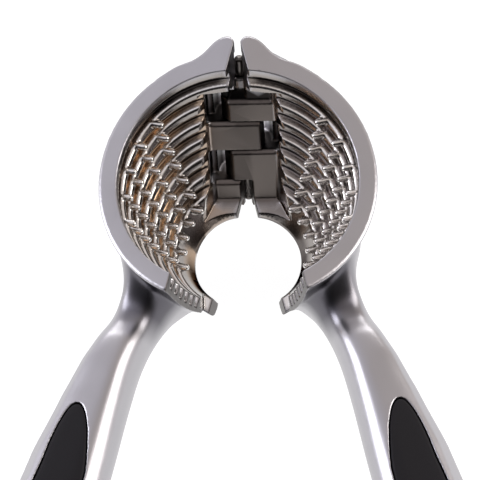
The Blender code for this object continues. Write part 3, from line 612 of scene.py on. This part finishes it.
def hinge_block():
    """Rib behind the upper wall that carries the knuckles."""
    top, wide = KNUCKLE_RADIUS, -BLOCK_WIDTH
    outline = smooth_path([
        (wide, -BLOCK_DROP), (0.88 * wide, -0.44 * BLOCK_DROP), (0.72 * wide, -0.04 * BLOCK_DROP),
        (0.57 * wide, 0.48 * top), (0.35 * wide, 0.87 * top), (0.15 * wide, 0.98 * top)], 4)
    outline += [(PASS, top), (PASS, -BLOCK_DROP)]
    return hinge_prism("hinge_block", outline, BLOCK_START, KNUCKLE_LAST)


def handle_station(y):
    """Centre and half sizes of the handle's section at a height: x, z, half width, half depth."""
    rows = HANDLE_ROWS
    position = 0.0
    for i in range(len(rows) - 1):
        if rows[i][0] >= y / MM >= rows[i + 1][0]:
            position = i + (rows[i][0] - y / MM) / (rows[i][0] - rows[i + 1][0])
    i = min(int(position), len(rows) - 2)
    t = position - i
    quad = [rows[max(i - 1, 0)], rows[i], rows[i + 1], rows[min(i + 2, len(rows) - 1)]]
    values = []
    for k in range(1, 5):
        a, b, c, d = (row[k] * MM for row in quad)
        values.append(b * (1 - t) ** 2 * (1 + 2 * t) + c * t * t * (3 - 2 * t)
                      + (c - a) / 2.0 * t * (1 - t) ** 2 - (d - b) / 2.0 * t * t * (1 - t))
    outer, inner, near, far = values
    return (outer + inner) / 2.0, -(near + far) / 2.0, (inner - outer) / 2.0, (far - near) / 2.0


def handle_ring(y, shrink):
    """One section across the handle: square towards the outer side, round on the inner."""
    cx, cz, half_width, half_depth = handle_station(y)
    ring = []
    crease = half_width - (CREASE_WIDTH + CREASE_SPREAD * max(-y - CREASE_START, 0.0))
    for i in range(HANDLE_SIDES):
        turn = 2.0 * pi * i / HANDLE_SIDES
        c, s = cos(turn), sin(turn)
        power = 2.0 / (OUTER_SQUARENESS + (INNER_ROUNDNESS - OUTER_SQUARENESS) * (0.5 + 0.5 * c))
        x = half_width * shrink * copysign(abs(c) ** power, c)
        z = half_depth * shrink * copysign(abs(s) ** power, s)
        past = max(-x - crease * shrink, 0.0)
        limit = half_depth * shrink - CREASE_STEEPNESS * past
        ring.append((cx + x, y, cz + min(max(z, -limit), limit)))
    return ring


def handle():
    """Loft from inside the jaw wall down to the rounded end of the handle."""
    top, straight_end = HANDLE_ROWS[0][0] * MM, HANDLE_ROWS[-1][0] * MM + HANDLE_CAP
    rings = [handle_ring(y, 1.0) for y in np.linspace(top, straight_end, 90)]
    for turn in np.radians((12.0, 24.0, 36.0, 48.0, 60.0, 72.0, 84.0)):
        rings.append(handle_ring(straight_end - HANDLE_CAP * sin(turn), 0.35 + 0.65 * cos(turn)))
    return shell("handle", rings)


def above_pin():
    """Room over the pin, where the two arms swing together as the jaws open."""
    lean = tan(WIDEST_SWING / 2.0) * 1.25
    height = 3.0 * KNUCKLE_RADIUS
    foot = -0.5 * PIN_RADIUS
    outline = [(PASS, foot), (PASS, height), (-lean * height, height), (foot, foot)]
    return hinge_prism("above_pin", outline, -height * tan(HINGE_SLOPE) - PASS, KNUCKLE_LAST + 2.0 * PASS)


def crest_out(x, along):
    """How far out the ridges' crests lie, across and along the pin of the opened arm."""
    inside, outside = -1.2 * CONE["Mouth Radius"], 0.0
    for _ in range(30):
        middle = (inside + outside) / 2.0
        place = hinge_place(*turned_to_open(x, middle), along)
        across, up = circle_centre(-place.z)
        if hypot(place.x - across, place.y - up) < crest_radius(-place.z):
            inside = middle
        else:
            outside = middle
    return inside


def recess():
    """Flat recess along the pin with flared sides, which ends at a shelf that faces forwards."""
    def to_shelf(out):
        return (SHELF_DEPTH - out * sin(HINGE_SLOPE)) / cos(HINGE_SLOPE)
    floor, far = -KNUCKLE_FACE + KNUCKLE_BEVEL, 1.2 * CONE["Mouth Radius"]
    deep = -far
    shelf, last = to_shelf(deep), to_shelf(floor)
    rings = []
    for i in range(RECESS_STATIONS + 1):
        along = RECESS_START + (last - RECESS_START) * i / RECESS_STATIONS
        flare = [(-RECESS_REACH - RECESS_FLARE * t,
                  crest_out(-RECESS_REACH - RECESS_FLARE * t, along)
                  + FLARE_RISE * (0.5 + 0.5 * cos(pi * t) - 0.12 * t))
                 for t in np.linspace(0.0, 1.0, 9)]
        corners = [(-RECESS_REACH, floor)] + flare + [(flare[-1][0], deep), (far, deep), (far, floor)]
        ring = []
        for x, out in corners:
            place = along
            if i == RECESS_STATIONS:
                place = to_shelf(out)
            elif i > 0 and out == deep:
                place = RECESS_START + (shelf - RECESS_START) * i / RECESS_STATIONS
            ring.append(hinge_place(*turned_to_open(x, out), place))
        rings.append(ring)
    return shell("recess", rings)


def rear_cut():
    """Trims what hangs on the hinge's inner side flush with the cone's small end."""
    corner = hinge_place(0.0, -REAR_STEP, 0.0)
    slope = tan(HINGE_SLOPE)
    depth = ((REAR_DEPTH + KNUCKLE_SEAT - REAR_SLOPE * (corner.y + corner.z * slope))
             / (1.0 - REAR_SLOPE * slope))
    start_y = corner.y - (depth + corner.z) * slope
    wide = 0.8 * CONE["Mouth Radius"]
    low_y = -0.7 * wide
    outline = [(start_y, depth), (start_y - wide * slope, depth + wide), (low_y, depth + wide),
               (low_y, REAR_DEPTH - REAR_SLOPE * low_y + KNUCKLE_SEAT)]
    return shell("rear_cut", [[(x, y, -z) for y, z in outline] for x in (-wide, wide)])


def pocket(start, end):
    """Room for one of the other arm's knuckles, whose square inner corner swings widest."""
    swing = hypot(KNUCKLE_RADIUS, KNUCKLE_FACE) + KNUCKLE_CLEARANCE
    deep = -1.2 * CONE["Mouth Radius"]
    outline = [(swing, deep), (-POCKET_REACH, deep), (-POCKET_REACH, -KNUCKLE_BEVEL)]
    outline += arc(swing, pi, 0.0, 24)
    return hinge_prism("pocket", [turned_to_open(x, out) for x, out in outline], start, end)


def rear_pocket(start, end):
    """Room for the other arm's rear barrel, which wraps only the outer side of the pin."""
    first = pi + WIDEST_SWING - REAR_WRAP + radians(3.0)
    outline = arc(KNUCKLE_RADIUS + KNUCKLE_CLEARANCE, first, 0.0, 36) + [(0.0, 0.0)]
    return hinge_prism("rear_pocket", outline, start, end)


def front_ramp():
    """The first knuckle's front slopes up from the barrel round the pin's end."""
    rings = []
    for t in np.linspace(0.0, 1.0, 9):
        side = -NOSE_RADIUS - (RECESS_REACH + KNUCKLE_ROOT - NOSE_RADIUS) * t
        face = NOSE_RADIUS + (KNUCKLE_FACE - KNUCKLE_BEVEL - NOSE_RADIUS) * t ** 1.4
        edge = NOSE_RADIUS + (FACE_EDGES["right"] - NOSE_RADIUS) * t
        outline = [(side, KNUCKLE_LIFT), (side, -face), (edge - RAMP_CORNER * (1.0 - t), -face),
                   (edge, -face + RAMP_CORNER * (1.0 - t))] + arc(NOSE_RADIUS, 0.0, 0.5 * pi, 8)
        along = RAMP_START + (KNUCKLE_EDGES[0] + KNUCKLE_SEAT - RAMP_START) * t
        rings.append([hinge_place(*turned_to_open(x, out), along) for x, out in outline])
    return shell("front_ramp", rings)


def face_to_parting(first, face, last):
    """A flat inner face, square to the pin, that stops at the parting plane."""
    low = turned_to_open(FACE_ROOT, -face)
    lift = (-PARTING_GAP - low[0]) * tan(HALF_OPENING)
    return [turned_to_open(FACE_ROOT, first), low, (-PARTING_GAP, low[1] + lift), (-PARTING_GAP, last)]


def knuckle(start, end, rear, edge):
    """Barrel round the pin with a flat inner face and a bevelled front edge.

    The rear one's inner face ends at the parting plane, so that the pin shows.
    """
    rings = []
    for along, face in ((start, KNUCKLE_FACE - KNUCKLE_BEVEL), (start + KNUCKLE_BEVEL, KNUCKLE_FACE),
                        (end, KNUCKLE_FACE)):
        if rear:
            outline = face_to_parting(KNUCKLE_LIFT, face, 0.0)
            outline += arc(KNUCKLE_RADIUS, REAR_WRAP, 0.8 * pi, 20)
        else:
            outline = [(FACE_ROOT, KNUCKLE_LIFT), (FACE_ROOT, -face), (edge, -face),
                       (KNUCKLE_RADIUS, -0.45 * KNUCKLE_FACE)] + arc(KNUCKLE_RADIUS, 0.0, 0.8 * pi, 20)
            outline = [turned_to_open(x, out) for x, out in outline]
        rings.append([hinge_place(x, out, along) for x, out in outline])
    return shell("knuckle", rings)


def rear_pad(start, end):
    """The inner face of the arm that has no barrel at the rear, flush with the knuckles."""
    outline = face_to_parting(-0.4 * KNUCKLE_FACE, KNUCKLE_FACE, -PIN_RADIUS - PIN_CLEARANCE)
    return hinge_prism("rear_pad", outline, start, end)


def round_bar(radius, start, end):
    """A bar about the pin's axis."""
    return hinge_prism("round_bar", arc(radius, 0.0, 2.0 * pi * 35 / 36, 35), start, end)


def past_parting():
    """Everything on the far side of the parting plane."""
    low, high, reach = -PARTING_GAP, 80.0 * MM, 200.0 * MM
    corners = ((low, -reach), (high, -reach), (high, reach), (low, reach))
    return shell("past_parting", [[(x, y, z) for x, y in corners] for z in (high, -high)])


def grip_outline(inset):
    """Teardrop seen from the front: pointed towards the jaw, blunt at the handle's end."""
    left, right = [], []
    top, bottom = GRIP_TOP - inset, GRIP_BOTTOM + inset
    for i in range(GRIP_STATIONS + 1):
        y = top + (bottom - top) * (0.5 - 0.5 * cos(pi * i / GRIP_STATIONS))
        down = (top - y) / (top - bottom)
        swell = (1.0 - (1.0 - min(down / GRIP_POINT, 1.0)) ** 2.4) ** 0.5
        close = (1.0 - max((down - (1.0 - GRIP_END)) / GRIP_END, 0.0) ** 2.2) ** 0.5
        half = (GRIP_WIDTH / 2.0 - inset) * swell * close
        settled = min(down / GRIP_SETTLED, 1.0)
        cx = handle_station(y)[0] - GRIP_LEAN * (1.0 - settled) + GRIP_SHIFT * settled
        left.append((cx - half, y))
        right.append((cx + half, y))
    return left + list(reversed(right[1:-1]))


def grip_prism(face, inset):
    """From the pocket's flat floor to well outside the handle's skin."""
    floor = GRIP_FLOORS[face] - inset if face == "front" else GRIP_FLOORS[face] + inset
    rings = [[(x, y, -depth) for x, y in grip_outline(inset)]
             for depth in ((-PASS, floor) if face == "front" else (floor, GRIP_OUTSIDE))]
    return shell("grip_prism", rings)


def casting_blank():
    """Cone, ear, hinge rib and handle in one, with the soft inner corners of a casting."""
    blank = recast(joined([outer_cone(), ear(), hinge_block(), handle()]), BLANK_GRAIN * MM)
    places = points_of(blank) / MM
    behind_rim = np.clip((-places[:, 2] - 2.5) / 2.0, 0.0, 1.0)
    above_grip = np.clip((places[:, 1] + 50.0) / 8.0, 0.0, 1.0)
    return ease(blank, BLANK_ROUNDS, 0.5 * behind_rim * above_grip)


def casting(side, blank):
    """Hollows out one casting and adds its knuckles and pegs. The right one owns knuckles 0 and 2."""
    right = side == 1
    mesh = blank.copy()
    nose_end = KNUCKLE_EDGES[0] + KNUCKLE_SEAT
    cut, add = "DIFFERENCE", "UNION"
    work = [(cut, ridged_hollow()), (cut, recess()), (cut, past_parting()), (cut, above_pin()),
            (cut, round_bar(EAR_RECESS_RADIUS, EAR_RECESS_START, NOSE_START))]
    if right:
        work += [(add, round_bar(NOSE_RADIUS, NOSE_START, nose_end)), (add, front_ramp())]
    else:
        work.append((cut, round_bar(NOSE_RADIUS + KNUCKLE_CLEARANCE,
                                    NOSE_START - KNUCKLE_CLEARANCE, nose_end)))
    for index in range(4):
        start, end = KNUCKLE_EDGES[index], KNUCKLE_EDGES[index + 1] - KNUCKLE_CLEARANCE
        opening = (RAMP_START if index == 0 else start) - KNUCKLE_CLEARANCE + KNUCKLE_SEAT
        if right == (index % 2 == 0):
            work.append((add, knuckle(start, end, index == 3, FACE_EDGES["right" if right else "left"])))
        elif index == 3:
            work += [(add, rear_pad(opening, end)), (cut, rear_pocket(opening, end + PASS))]
        else:
            work.append((cut, pocket(opening, end + KNUCKLE_CLEARANCE - KNUCKLE_SEAT)))
    work += [(cut, rear_cut()),
             (cut, round_bar(PIN_RADIUS + PIN_CLEARANCE, -2.0 * PASS, KNUCKLE_LAST + 2.0 * PASS)),
             (cut, grip_prism("front", 0.0)), (cut, grip_prism("back", 0.0))]
    for operation, tool in work:
        mesh = carve(mesh, operation, tool)
    pegs = from_tree(PEG_ROWS, bpy.data.meshes.new("no_strip"), PEGS)
    mesh = ease(recast(joined([mesh, pegs]), CASTING_GRAIN * MM), CASTING_ROUNDS)
    return thinned(mesh, CASTING_TRIANGLES)


def placed(mesh, side):
    """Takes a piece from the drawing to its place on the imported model."""
    mirror = Matrix.Diagonal((-side, 1.0, 1.0, 1.0))
    swing = Matrix.Translation(HINGE_POINT) @ Matrix.Rotation(-side * HALF_OPENING, 4, HINGE_AXIS)
    mesh.transform(LYING @ swing @ mirror @ Matrix.Translation(-HINGE_POINT))
    if side == 1:
        mesh.flip_normals()
    return mesh


def hand_over(name, mesh, finish, body, node):
    """Names a finished piece, shades it smooth and lets it stand for its CAD node."""
    mesh.materials.clear()
    mesh.materials.append(finish)
    mesh.shade_smooth()
    item = brought_in(name, mesh)
    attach(item, body)
    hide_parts(node)
    return item


# Soft borders of the castings' zones: a distance named in mark_zones, where the zone starts and
# where it is full, both in millimetres. A zone reaches as far as all its borders let it.
BORDERS = {
    "inside": [("over", 3.0, 2.2), ("depth", 0.3, 1.1), ("from_parting", 0.4, 0.8)],
    "groove_floor": [("over", 0.45, 0.85)],
    "off_parting": [("from_parting", 0.8, 2.8)],
    "front_edge": [("over", 0.04, 0.14), ("over", 0.55, 0.45)],
    "peg": [("over", -0.25, -0.45)],
    "throat": [("depth", 31.0, 33.0)],
    "lower": [("below_centre", 0.0, 5.0)],
    "low_end": [("below_centre", 0.0, 5.0), ("from_parting", 5.0, 3.0), ("over", 0.0, 0.3)],
    "upper_end": [("square_x", -18.0, -13.0)],
    "behind_rim": [("past_first_ridge", 0.3, -0.3)],
    "flank": [("past_flare", 0.0, 0.5)],
    "dull_and_painted_shade": [("past_recess", -0.5, -0.1), ("past_face", -1.2, -0.8), ("past_knuckle", -0.6, -0.2)],
    "parting": [("past_parting", -0.2, -0.05)],
    "hollow": [("y", -18.0, -23.0), ("y", -38.0, -32.0), ("from_parting", 13.5, 10.5),
               ("depth", 20.0, 14.0), ("depth", 2.2, 3.7)],
    "pit_shade": [("past_pocket", -0.3, 0.0), ("past_face", 0.5, 0.8), ("past_ramp", -0.6, -0.3),
            ("past_last_knuckle", 0.0, -0.3), ("square_out", 4.0, 3.0)],
    "lip": [("past_small_end", -0.7, -0.4), ("over", 1.2, 0.9), ("from_parting", 4.0, 6.0)]}
# How strongly a zone shows. The pairs are for the parting faces below the hinge and beside it.
# Strengths of the painted shade, painted reflection and painted highlights
THROAT_TINT, THROAT_TINT_BELOW = 0.7, 0.3
THROAT_SHADE, THROAT_WARMTH, THROAT_SHADE_BELOW = 0.75, 0.55, 0.95
PEG_HIGHLIGHT, LIP_SHADE, FLANK_LIGHTER, RIM_SIDE_LIGHTER = 0.8, 0.75, 0.55, 0.8
END_SHADE, END_WARMTH = 0.15, 0.7
PARTING_DULL_AND_SHADE, PARTING_SHADE, BELOW_HINGE = (0.85, 0.5), (0.5, 0.35), 10.0 * MM


def mark_zones(mesh, warmth):
    """Marks the zones of a drawn casting, each as a share from 0 to 1, for its material to read.

    The cone is polished. A tint on the floor of each groove is painted shade, darkest in the gutters,
    and takes the given warmth as a warm brown painted reflection. Ridge edges and pegs get painted
    highlights. The hinge's faces are dull and get painted shade, and so do the pits beside its
    knuckles and the hollow between rim and handle.
    """
    places = points_of(mesh)
    x, y, z = places.T
    depth = -z
    across, up = circle_centre(depth)
    over = np.hypot(x - across, y - up) - crest_radius(depth)
    from_pin = places - np.array(HINGE_POINT)
    out, along = from_pin @ np.array(HINGE_OUT), from_pin @ np.array(HINGE_AXIS)
    c, s = cos(HALF_OPENING), sin(HALF_OPENING)
    square_x, square_out = c * x + s * out, c * out - s * x
    distances = {
        "y": y, "depth": depth, "over": over, "below_centre": up - y, "from_parting": -x,
        "past_parting": x + PARTING_GAP, "past_first_ridge": depth - FIRST_RIDGE,
        "past_small_end": depth + REAR_SLOPE * y - REAR_DEPTH,
        "square_x": square_x, "square_out": square_out, "past_face": square_out + KNUCKLE_FACE,
        "past_recess": square_x + RECESS_REACH, "past_pocket": square_x + POCKET_REACH,
        "past_flare": square_x + RECESS_REACH + RECESS_FLARE, "past_ramp": along - RAMP_START,
        "past_knuckle": along - KNUCKLE_EDGES[0], "past_last_knuckle": along - KNUCKLE_EDGES[3]}
    share = {zone: np.prod([np.clip((distances[name] / MM - start) / (full - start), 0.0, 1.0)
                            for name, start, full in borders], axis=0)
             for zone, borders in BORDERS.items()}
    inside, throat, lower, parting = (share[zone] for zone in ("inside", "throat", "lower", "parting"))
    groove = np.maximum(share["groove_floor"], throat * (THROAT_TINT + THROAT_TINT_BELOW * lower))
    groove *= inside * (1.0 - share["low_end"]) * np.maximum(share["off_parting"], throat * lower)
    # Painted highlights on the ridges' front edges, the pegs and the grooves' lower ends
    painted_highlight = np.maximum(share["front_edge"], PEG_HIGHLIGHT * share["peg"]) * (throat == 0.0)
    painted_highlight = inside * np.maximum(painted_highlight, share["low_end"])
    # The groove behind the rim lies in the rim's own shadow and is the darkest, but not at the sides
    high = np.clip(((y - up) / crest_radius(depth) - 0.1) / 0.5, 0.15, 1.0)
    groove *= 1.0 - RIM_SIDE_LIGHTER * share["behind_rim"] * (1.0 - high)
    # Less of the painted groove tint on the recess's flank
    groove *= 1.0 - FLANK_LIGHTER * share["flank"] * (depth > FIRST_RIDGE + RIDGE_WIDTH)
    gutter_shade = throat * np.maximum(THROAT_SHADE - THROAT_WARMTH * warmth, THROAT_SHADE_BELOW * lower)
    gutter_shade = np.maximum(share["behind_rim"] * high, gutter_shade) * (1.0 - parting)
    # Painted shade at the grooves' upper ends, beside the recess, darkest in the warm casting
    upper_end = share["upper_end"] * (1.0 - share["flank"]) * (y > up)
    gutter_shade = np.maximum(gutter_shade, (END_SHADE + END_WARMTH * warmth) * upper_end)
    # The hinge's faces are dull, and darker as painted shade, most on the parting faces below the hinge
    dull_and_painted_shade = np.maximum(share["dull_and_painted_shade"] * (square_out < 0.0),
                      np.where(y < BELOW_HINGE, *PARTING_DULL_AND_SHADE) * parting)
    # Painted shade in the gaps beside the knuckles, behind their faces, as far as the other arm swings
    swing = hypot(KNUCKLE_RADIUS, KNUCKLE_FACE) + KNUCKLE_CLEARANCE + 0.2 * MM
    pit_shade = share["pit_shade"] * ((square_out < -0.6 * MM) | (np.hypot(square_x, square_out) < swing))
    pit_shade = np.maximum(pit_shade, LIP_SHADE * share["lip"])
    pit_shade = np.maximum(pit_shade, np.where(y < BELOW_HINGE, *PARTING_SHADE) * parting)
    hollow = share["hollow"] * (1.0 - parting)
    for name, values in (("polished", inside), ("groove", groove), ("gutter_shade", gutter_shade), ("painted_highlight", painted_highlight),
                         ("warmth", 0.0 * x + warmth), ("dull_and_painted_shade", dull_and_painted_shade), ("pit_shade", pit_shade), ("hollow", hollow)):
        mesh.attributes.new(name, "FLOAT", "POINT").data.foreach_set("value", values.astype(np.float32))
    return mesh


BLANK = casting_blank()
for label, side in (("left", -1), ("right", 1)):
    # The left cone's grooves get the warm brown painted reflection
    mesh = placed(mark_zones(casting(side, BLANK), 1.0 if side == -1 else 0.0), side)
    hand_over(label + "_casting", mesh, METAL, label, label + "_arm")
    for face in ("front", "back"):
        inlay = carve(grip_prism(face, GRIP_CLEARANCE), "INTERSECT", handle())
        inlay = ease(recast(inlay, INLAY_GRAIN * MM), INLAY_ROUNDS)
        inlay = placed(thinned(inlay, INLAY_TRIANGLES), side)
        hand_over("%s_%s_inlay" % (label, face), inlay, INLAY, label,
                  "%s_grip_%s" % (label, face))


def knurled_pin():
    """Straight pin with a domed front end and crossed knurling where it is pressed in."""
    stations = [(PIN_START + PIN_DOME * back, 1.0 - 0.75 * inset) for back, inset in quarter_round(9)]
    plain = np.arange(PIN_START + 1.0 * MM, KNURL_START - 0.5 * MM, 1.0 * MM)
    pressed_in = np.arange(KNURL_START - KNURL_FADE, KNURL_END + 0.2 * MM, KNURL_STEP)
    stations += [(along, 1.0) for along in (*plain, *pressed_in)]
    stations += [(PIN_END - 0.3 * MM, 1.0), (PIN_END, 0.8)]
    rings = []
    for along, size in stations:
        ring = []
        pressed = min(max(min(along - KNURL_START, KNURL_END - along) / KNURL_FADE, 0.0), 1.0)
        lead = 2.0 * pi * along / KNURL_LEAD
        for i in range(PIN_SIDES):
            turn = 2.0 * pi * i / PIN_SIDES
            cut = max(cos(KNURL_CUTS * turn + lead), cos(KNURL_CUTS * turn - lead)) ** 8
            radius = PIN_RADIUS * size * (1.0 - KNURL_DEPTH * pressed * cut)
            ring.append(hinge_place(radius * cos(turn), radius * sin(turn), along))
        rings.append(ring)
    return shell("knurled_pin", rings)


hand_over("knurled_pin", placed(knurled_pin(), -1), STEEL, "left", "hinge_pin")


# The view, as fitted to the photograph: turns in radians, the jaw's place seen from the camera in
# millimetres, and the focal length in pixels. Then the point that the lamps are aimed at.
VIEW_TURNS = (("Z", 0.017), ("Y", -0.071), ("X", -0.304))
VIEW_PLACE = (-0.82, 14.57, -2000.0)
FOCAL_PIXELS, PICTURE_PIXELS, SENSOR_WIDTH = 8995.778, 480.0, 36.0
LIT_POINT = (0.0, 0.0, 0.03)


def photo_camera():
    """The photograph's view: nearly straight into the mouth, from far away."""
    to_camera = Matrix.Translation(Vector(VIEW_PLACE) * MM)
    for axis, angle in VIEW_TURNS:
        to_camera = to_camera @ Matrix.Rotation(angle, 4, axis)
    data = bpy.data.cameras.new("photo_camera")
    data.sensor_width = SENSOR_WIDTH
    data.lens = FOCAL_PIXELS * SENSOR_WIDTH / PICTURE_PIXELS
    data.clip_start, data.clip_end = 0.2, 20.0
    camera = brought_in("photo_camera", data)
    camera.matrix_world = LYING @ to_camera.inverted()
    bpy.context.scene.camera = camera


def light_paths(tree):
    """The kinds of ray, and 1 for those that see a thing itself or its reflection."""
    rays = add_node(tree, "ShaderNodeLightPath").outputs
    return rays, worked(tree, "MAXIMUM", rays["Is Camera Ray"], rays["Is Glossy Ray"])


def floor_and_background():
    """A pale floor that shows as white behind the object and keeps its soft shadow."""
    material, tree = new_material("pale_studio_floor")
    seen = light_paths(tree)[1]
    plain = add_node(tree, "ShaderNodeBsdfDiffuse", {"Color": linear("E8E8E8")})
    shaded = add_node(tree, "ShaderNodeBsdfDiffuse", {"Color": linear("8C8C8C")})
    glow = add_node(tree, "ShaderNodeEmission", {"Color": linear("FFFFFF"), "Strength": 0.94})
    lit = add_node(tree, "ShaderNodeAddShader", {0: shaded.outputs[0], 1: glow.outputs[0]})
    mixed = add_node(tree, "ShaderNodeMixShader", {0: seen, 1: plain.outputs[0], 2: lit.outputs[0]})
    add_node(tree, "ShaderNodeOutputMaterial", {"Surface": mixed.outputs[0]})
    bpy.ops.mesh.primitive_plane_add(size=6.0, location=(0.0, 0.0, -0.0004))
    floor = bpy.context.object
    floor.name = "studio_floor"
    floor.data.materials.append(material)
    world = bpy.data.worlds.new("studio_world")
    bpy.context.scene.world = world
    world.use_nodes = True
    tree = world.node_tree
    tree.nodes.clear()
    rays, seen = light_paths(tree)
    # The backdrop is white up to some 20 degrees above the floor, the ceiling is grey, and the
    # open side of the studio, towards the handles, is dim. The right side is a little warmer.
    toward = add_node(tree, "ShaderNodeSeparateXYZ",
                      {0: add_node(tree, "ShaderNodeTexCoord").outputs["Generated"]}).outputs
    ceiling = stretched(tree, toward["Z"], 1.0, 0.78, (0.25, 0.75), interpolation_type="SMOOTHSTEP")
    open_side = stretched(tree, toward["Y"], 0.03, 1.0, (-0.6, -0.28), interpolation_type="SMOOTHSTEP")
    to_right = stretched(tree, toward["X"], 0.0, 1.0, (-0.3, 0.3))
    warmer = worked(tree, "MULTIPLY", to_right, rays["Is Glossy Ray"])
    tint = mixed_colour(tree, warmer, "FBF8FF", "E2D9D4")
    tint = mixed_colour(tree, rays["Is Camera Ray"], tint, "FFFFFF")
    room = mixed_value(tree, rays["Is Camera Ray"], worked(tree, "MULTIPLY", ceiling, open_side), 1.0)
    strength = mixed_value(tree, seen, 0.35, room)
    sky = add_node(tree, "ShaderNodeBackground", {"Color": tint, "Strength": strength})
    add_node(tree, "ShaderNodeOutputWorld", {"Surface": sky.outputs[0]})


def soft_light(name, place, size, power, tint):
    """A softbox that points at the tool's middle."""
    data = bpy.data.lights.new(name, "AREA")
    data.shape = "RECTANGLE"
    data.size, data.size_y = size
    data.energy = power
    data.color = linear(tint)[:3]
    lamp = brought_in(name, data)
    lamp.location = place
    lamp.rotation_euler = (Vector(LIT_POINT) - Vector(place)).to_track_quat("-Z", "Y").to_euler()


photo_camera()
floor_and_background()
soft_light("softbox_left", (-1.25, 0.0, 0.55), (0.7, 1.15), 9.5, "F4F6FF")
soft_light("softbox_right", (1.25, 0.0, 0.6), (0.8, 1.25), 11.0, "FFFCF9")
soft_light("softbox_rear", (0.0, 1.3, 0.5), (1.2, 0.4), 5.0, "FFFFFF")

bpy.context.scene.view_settings.view_transform = "Standard"
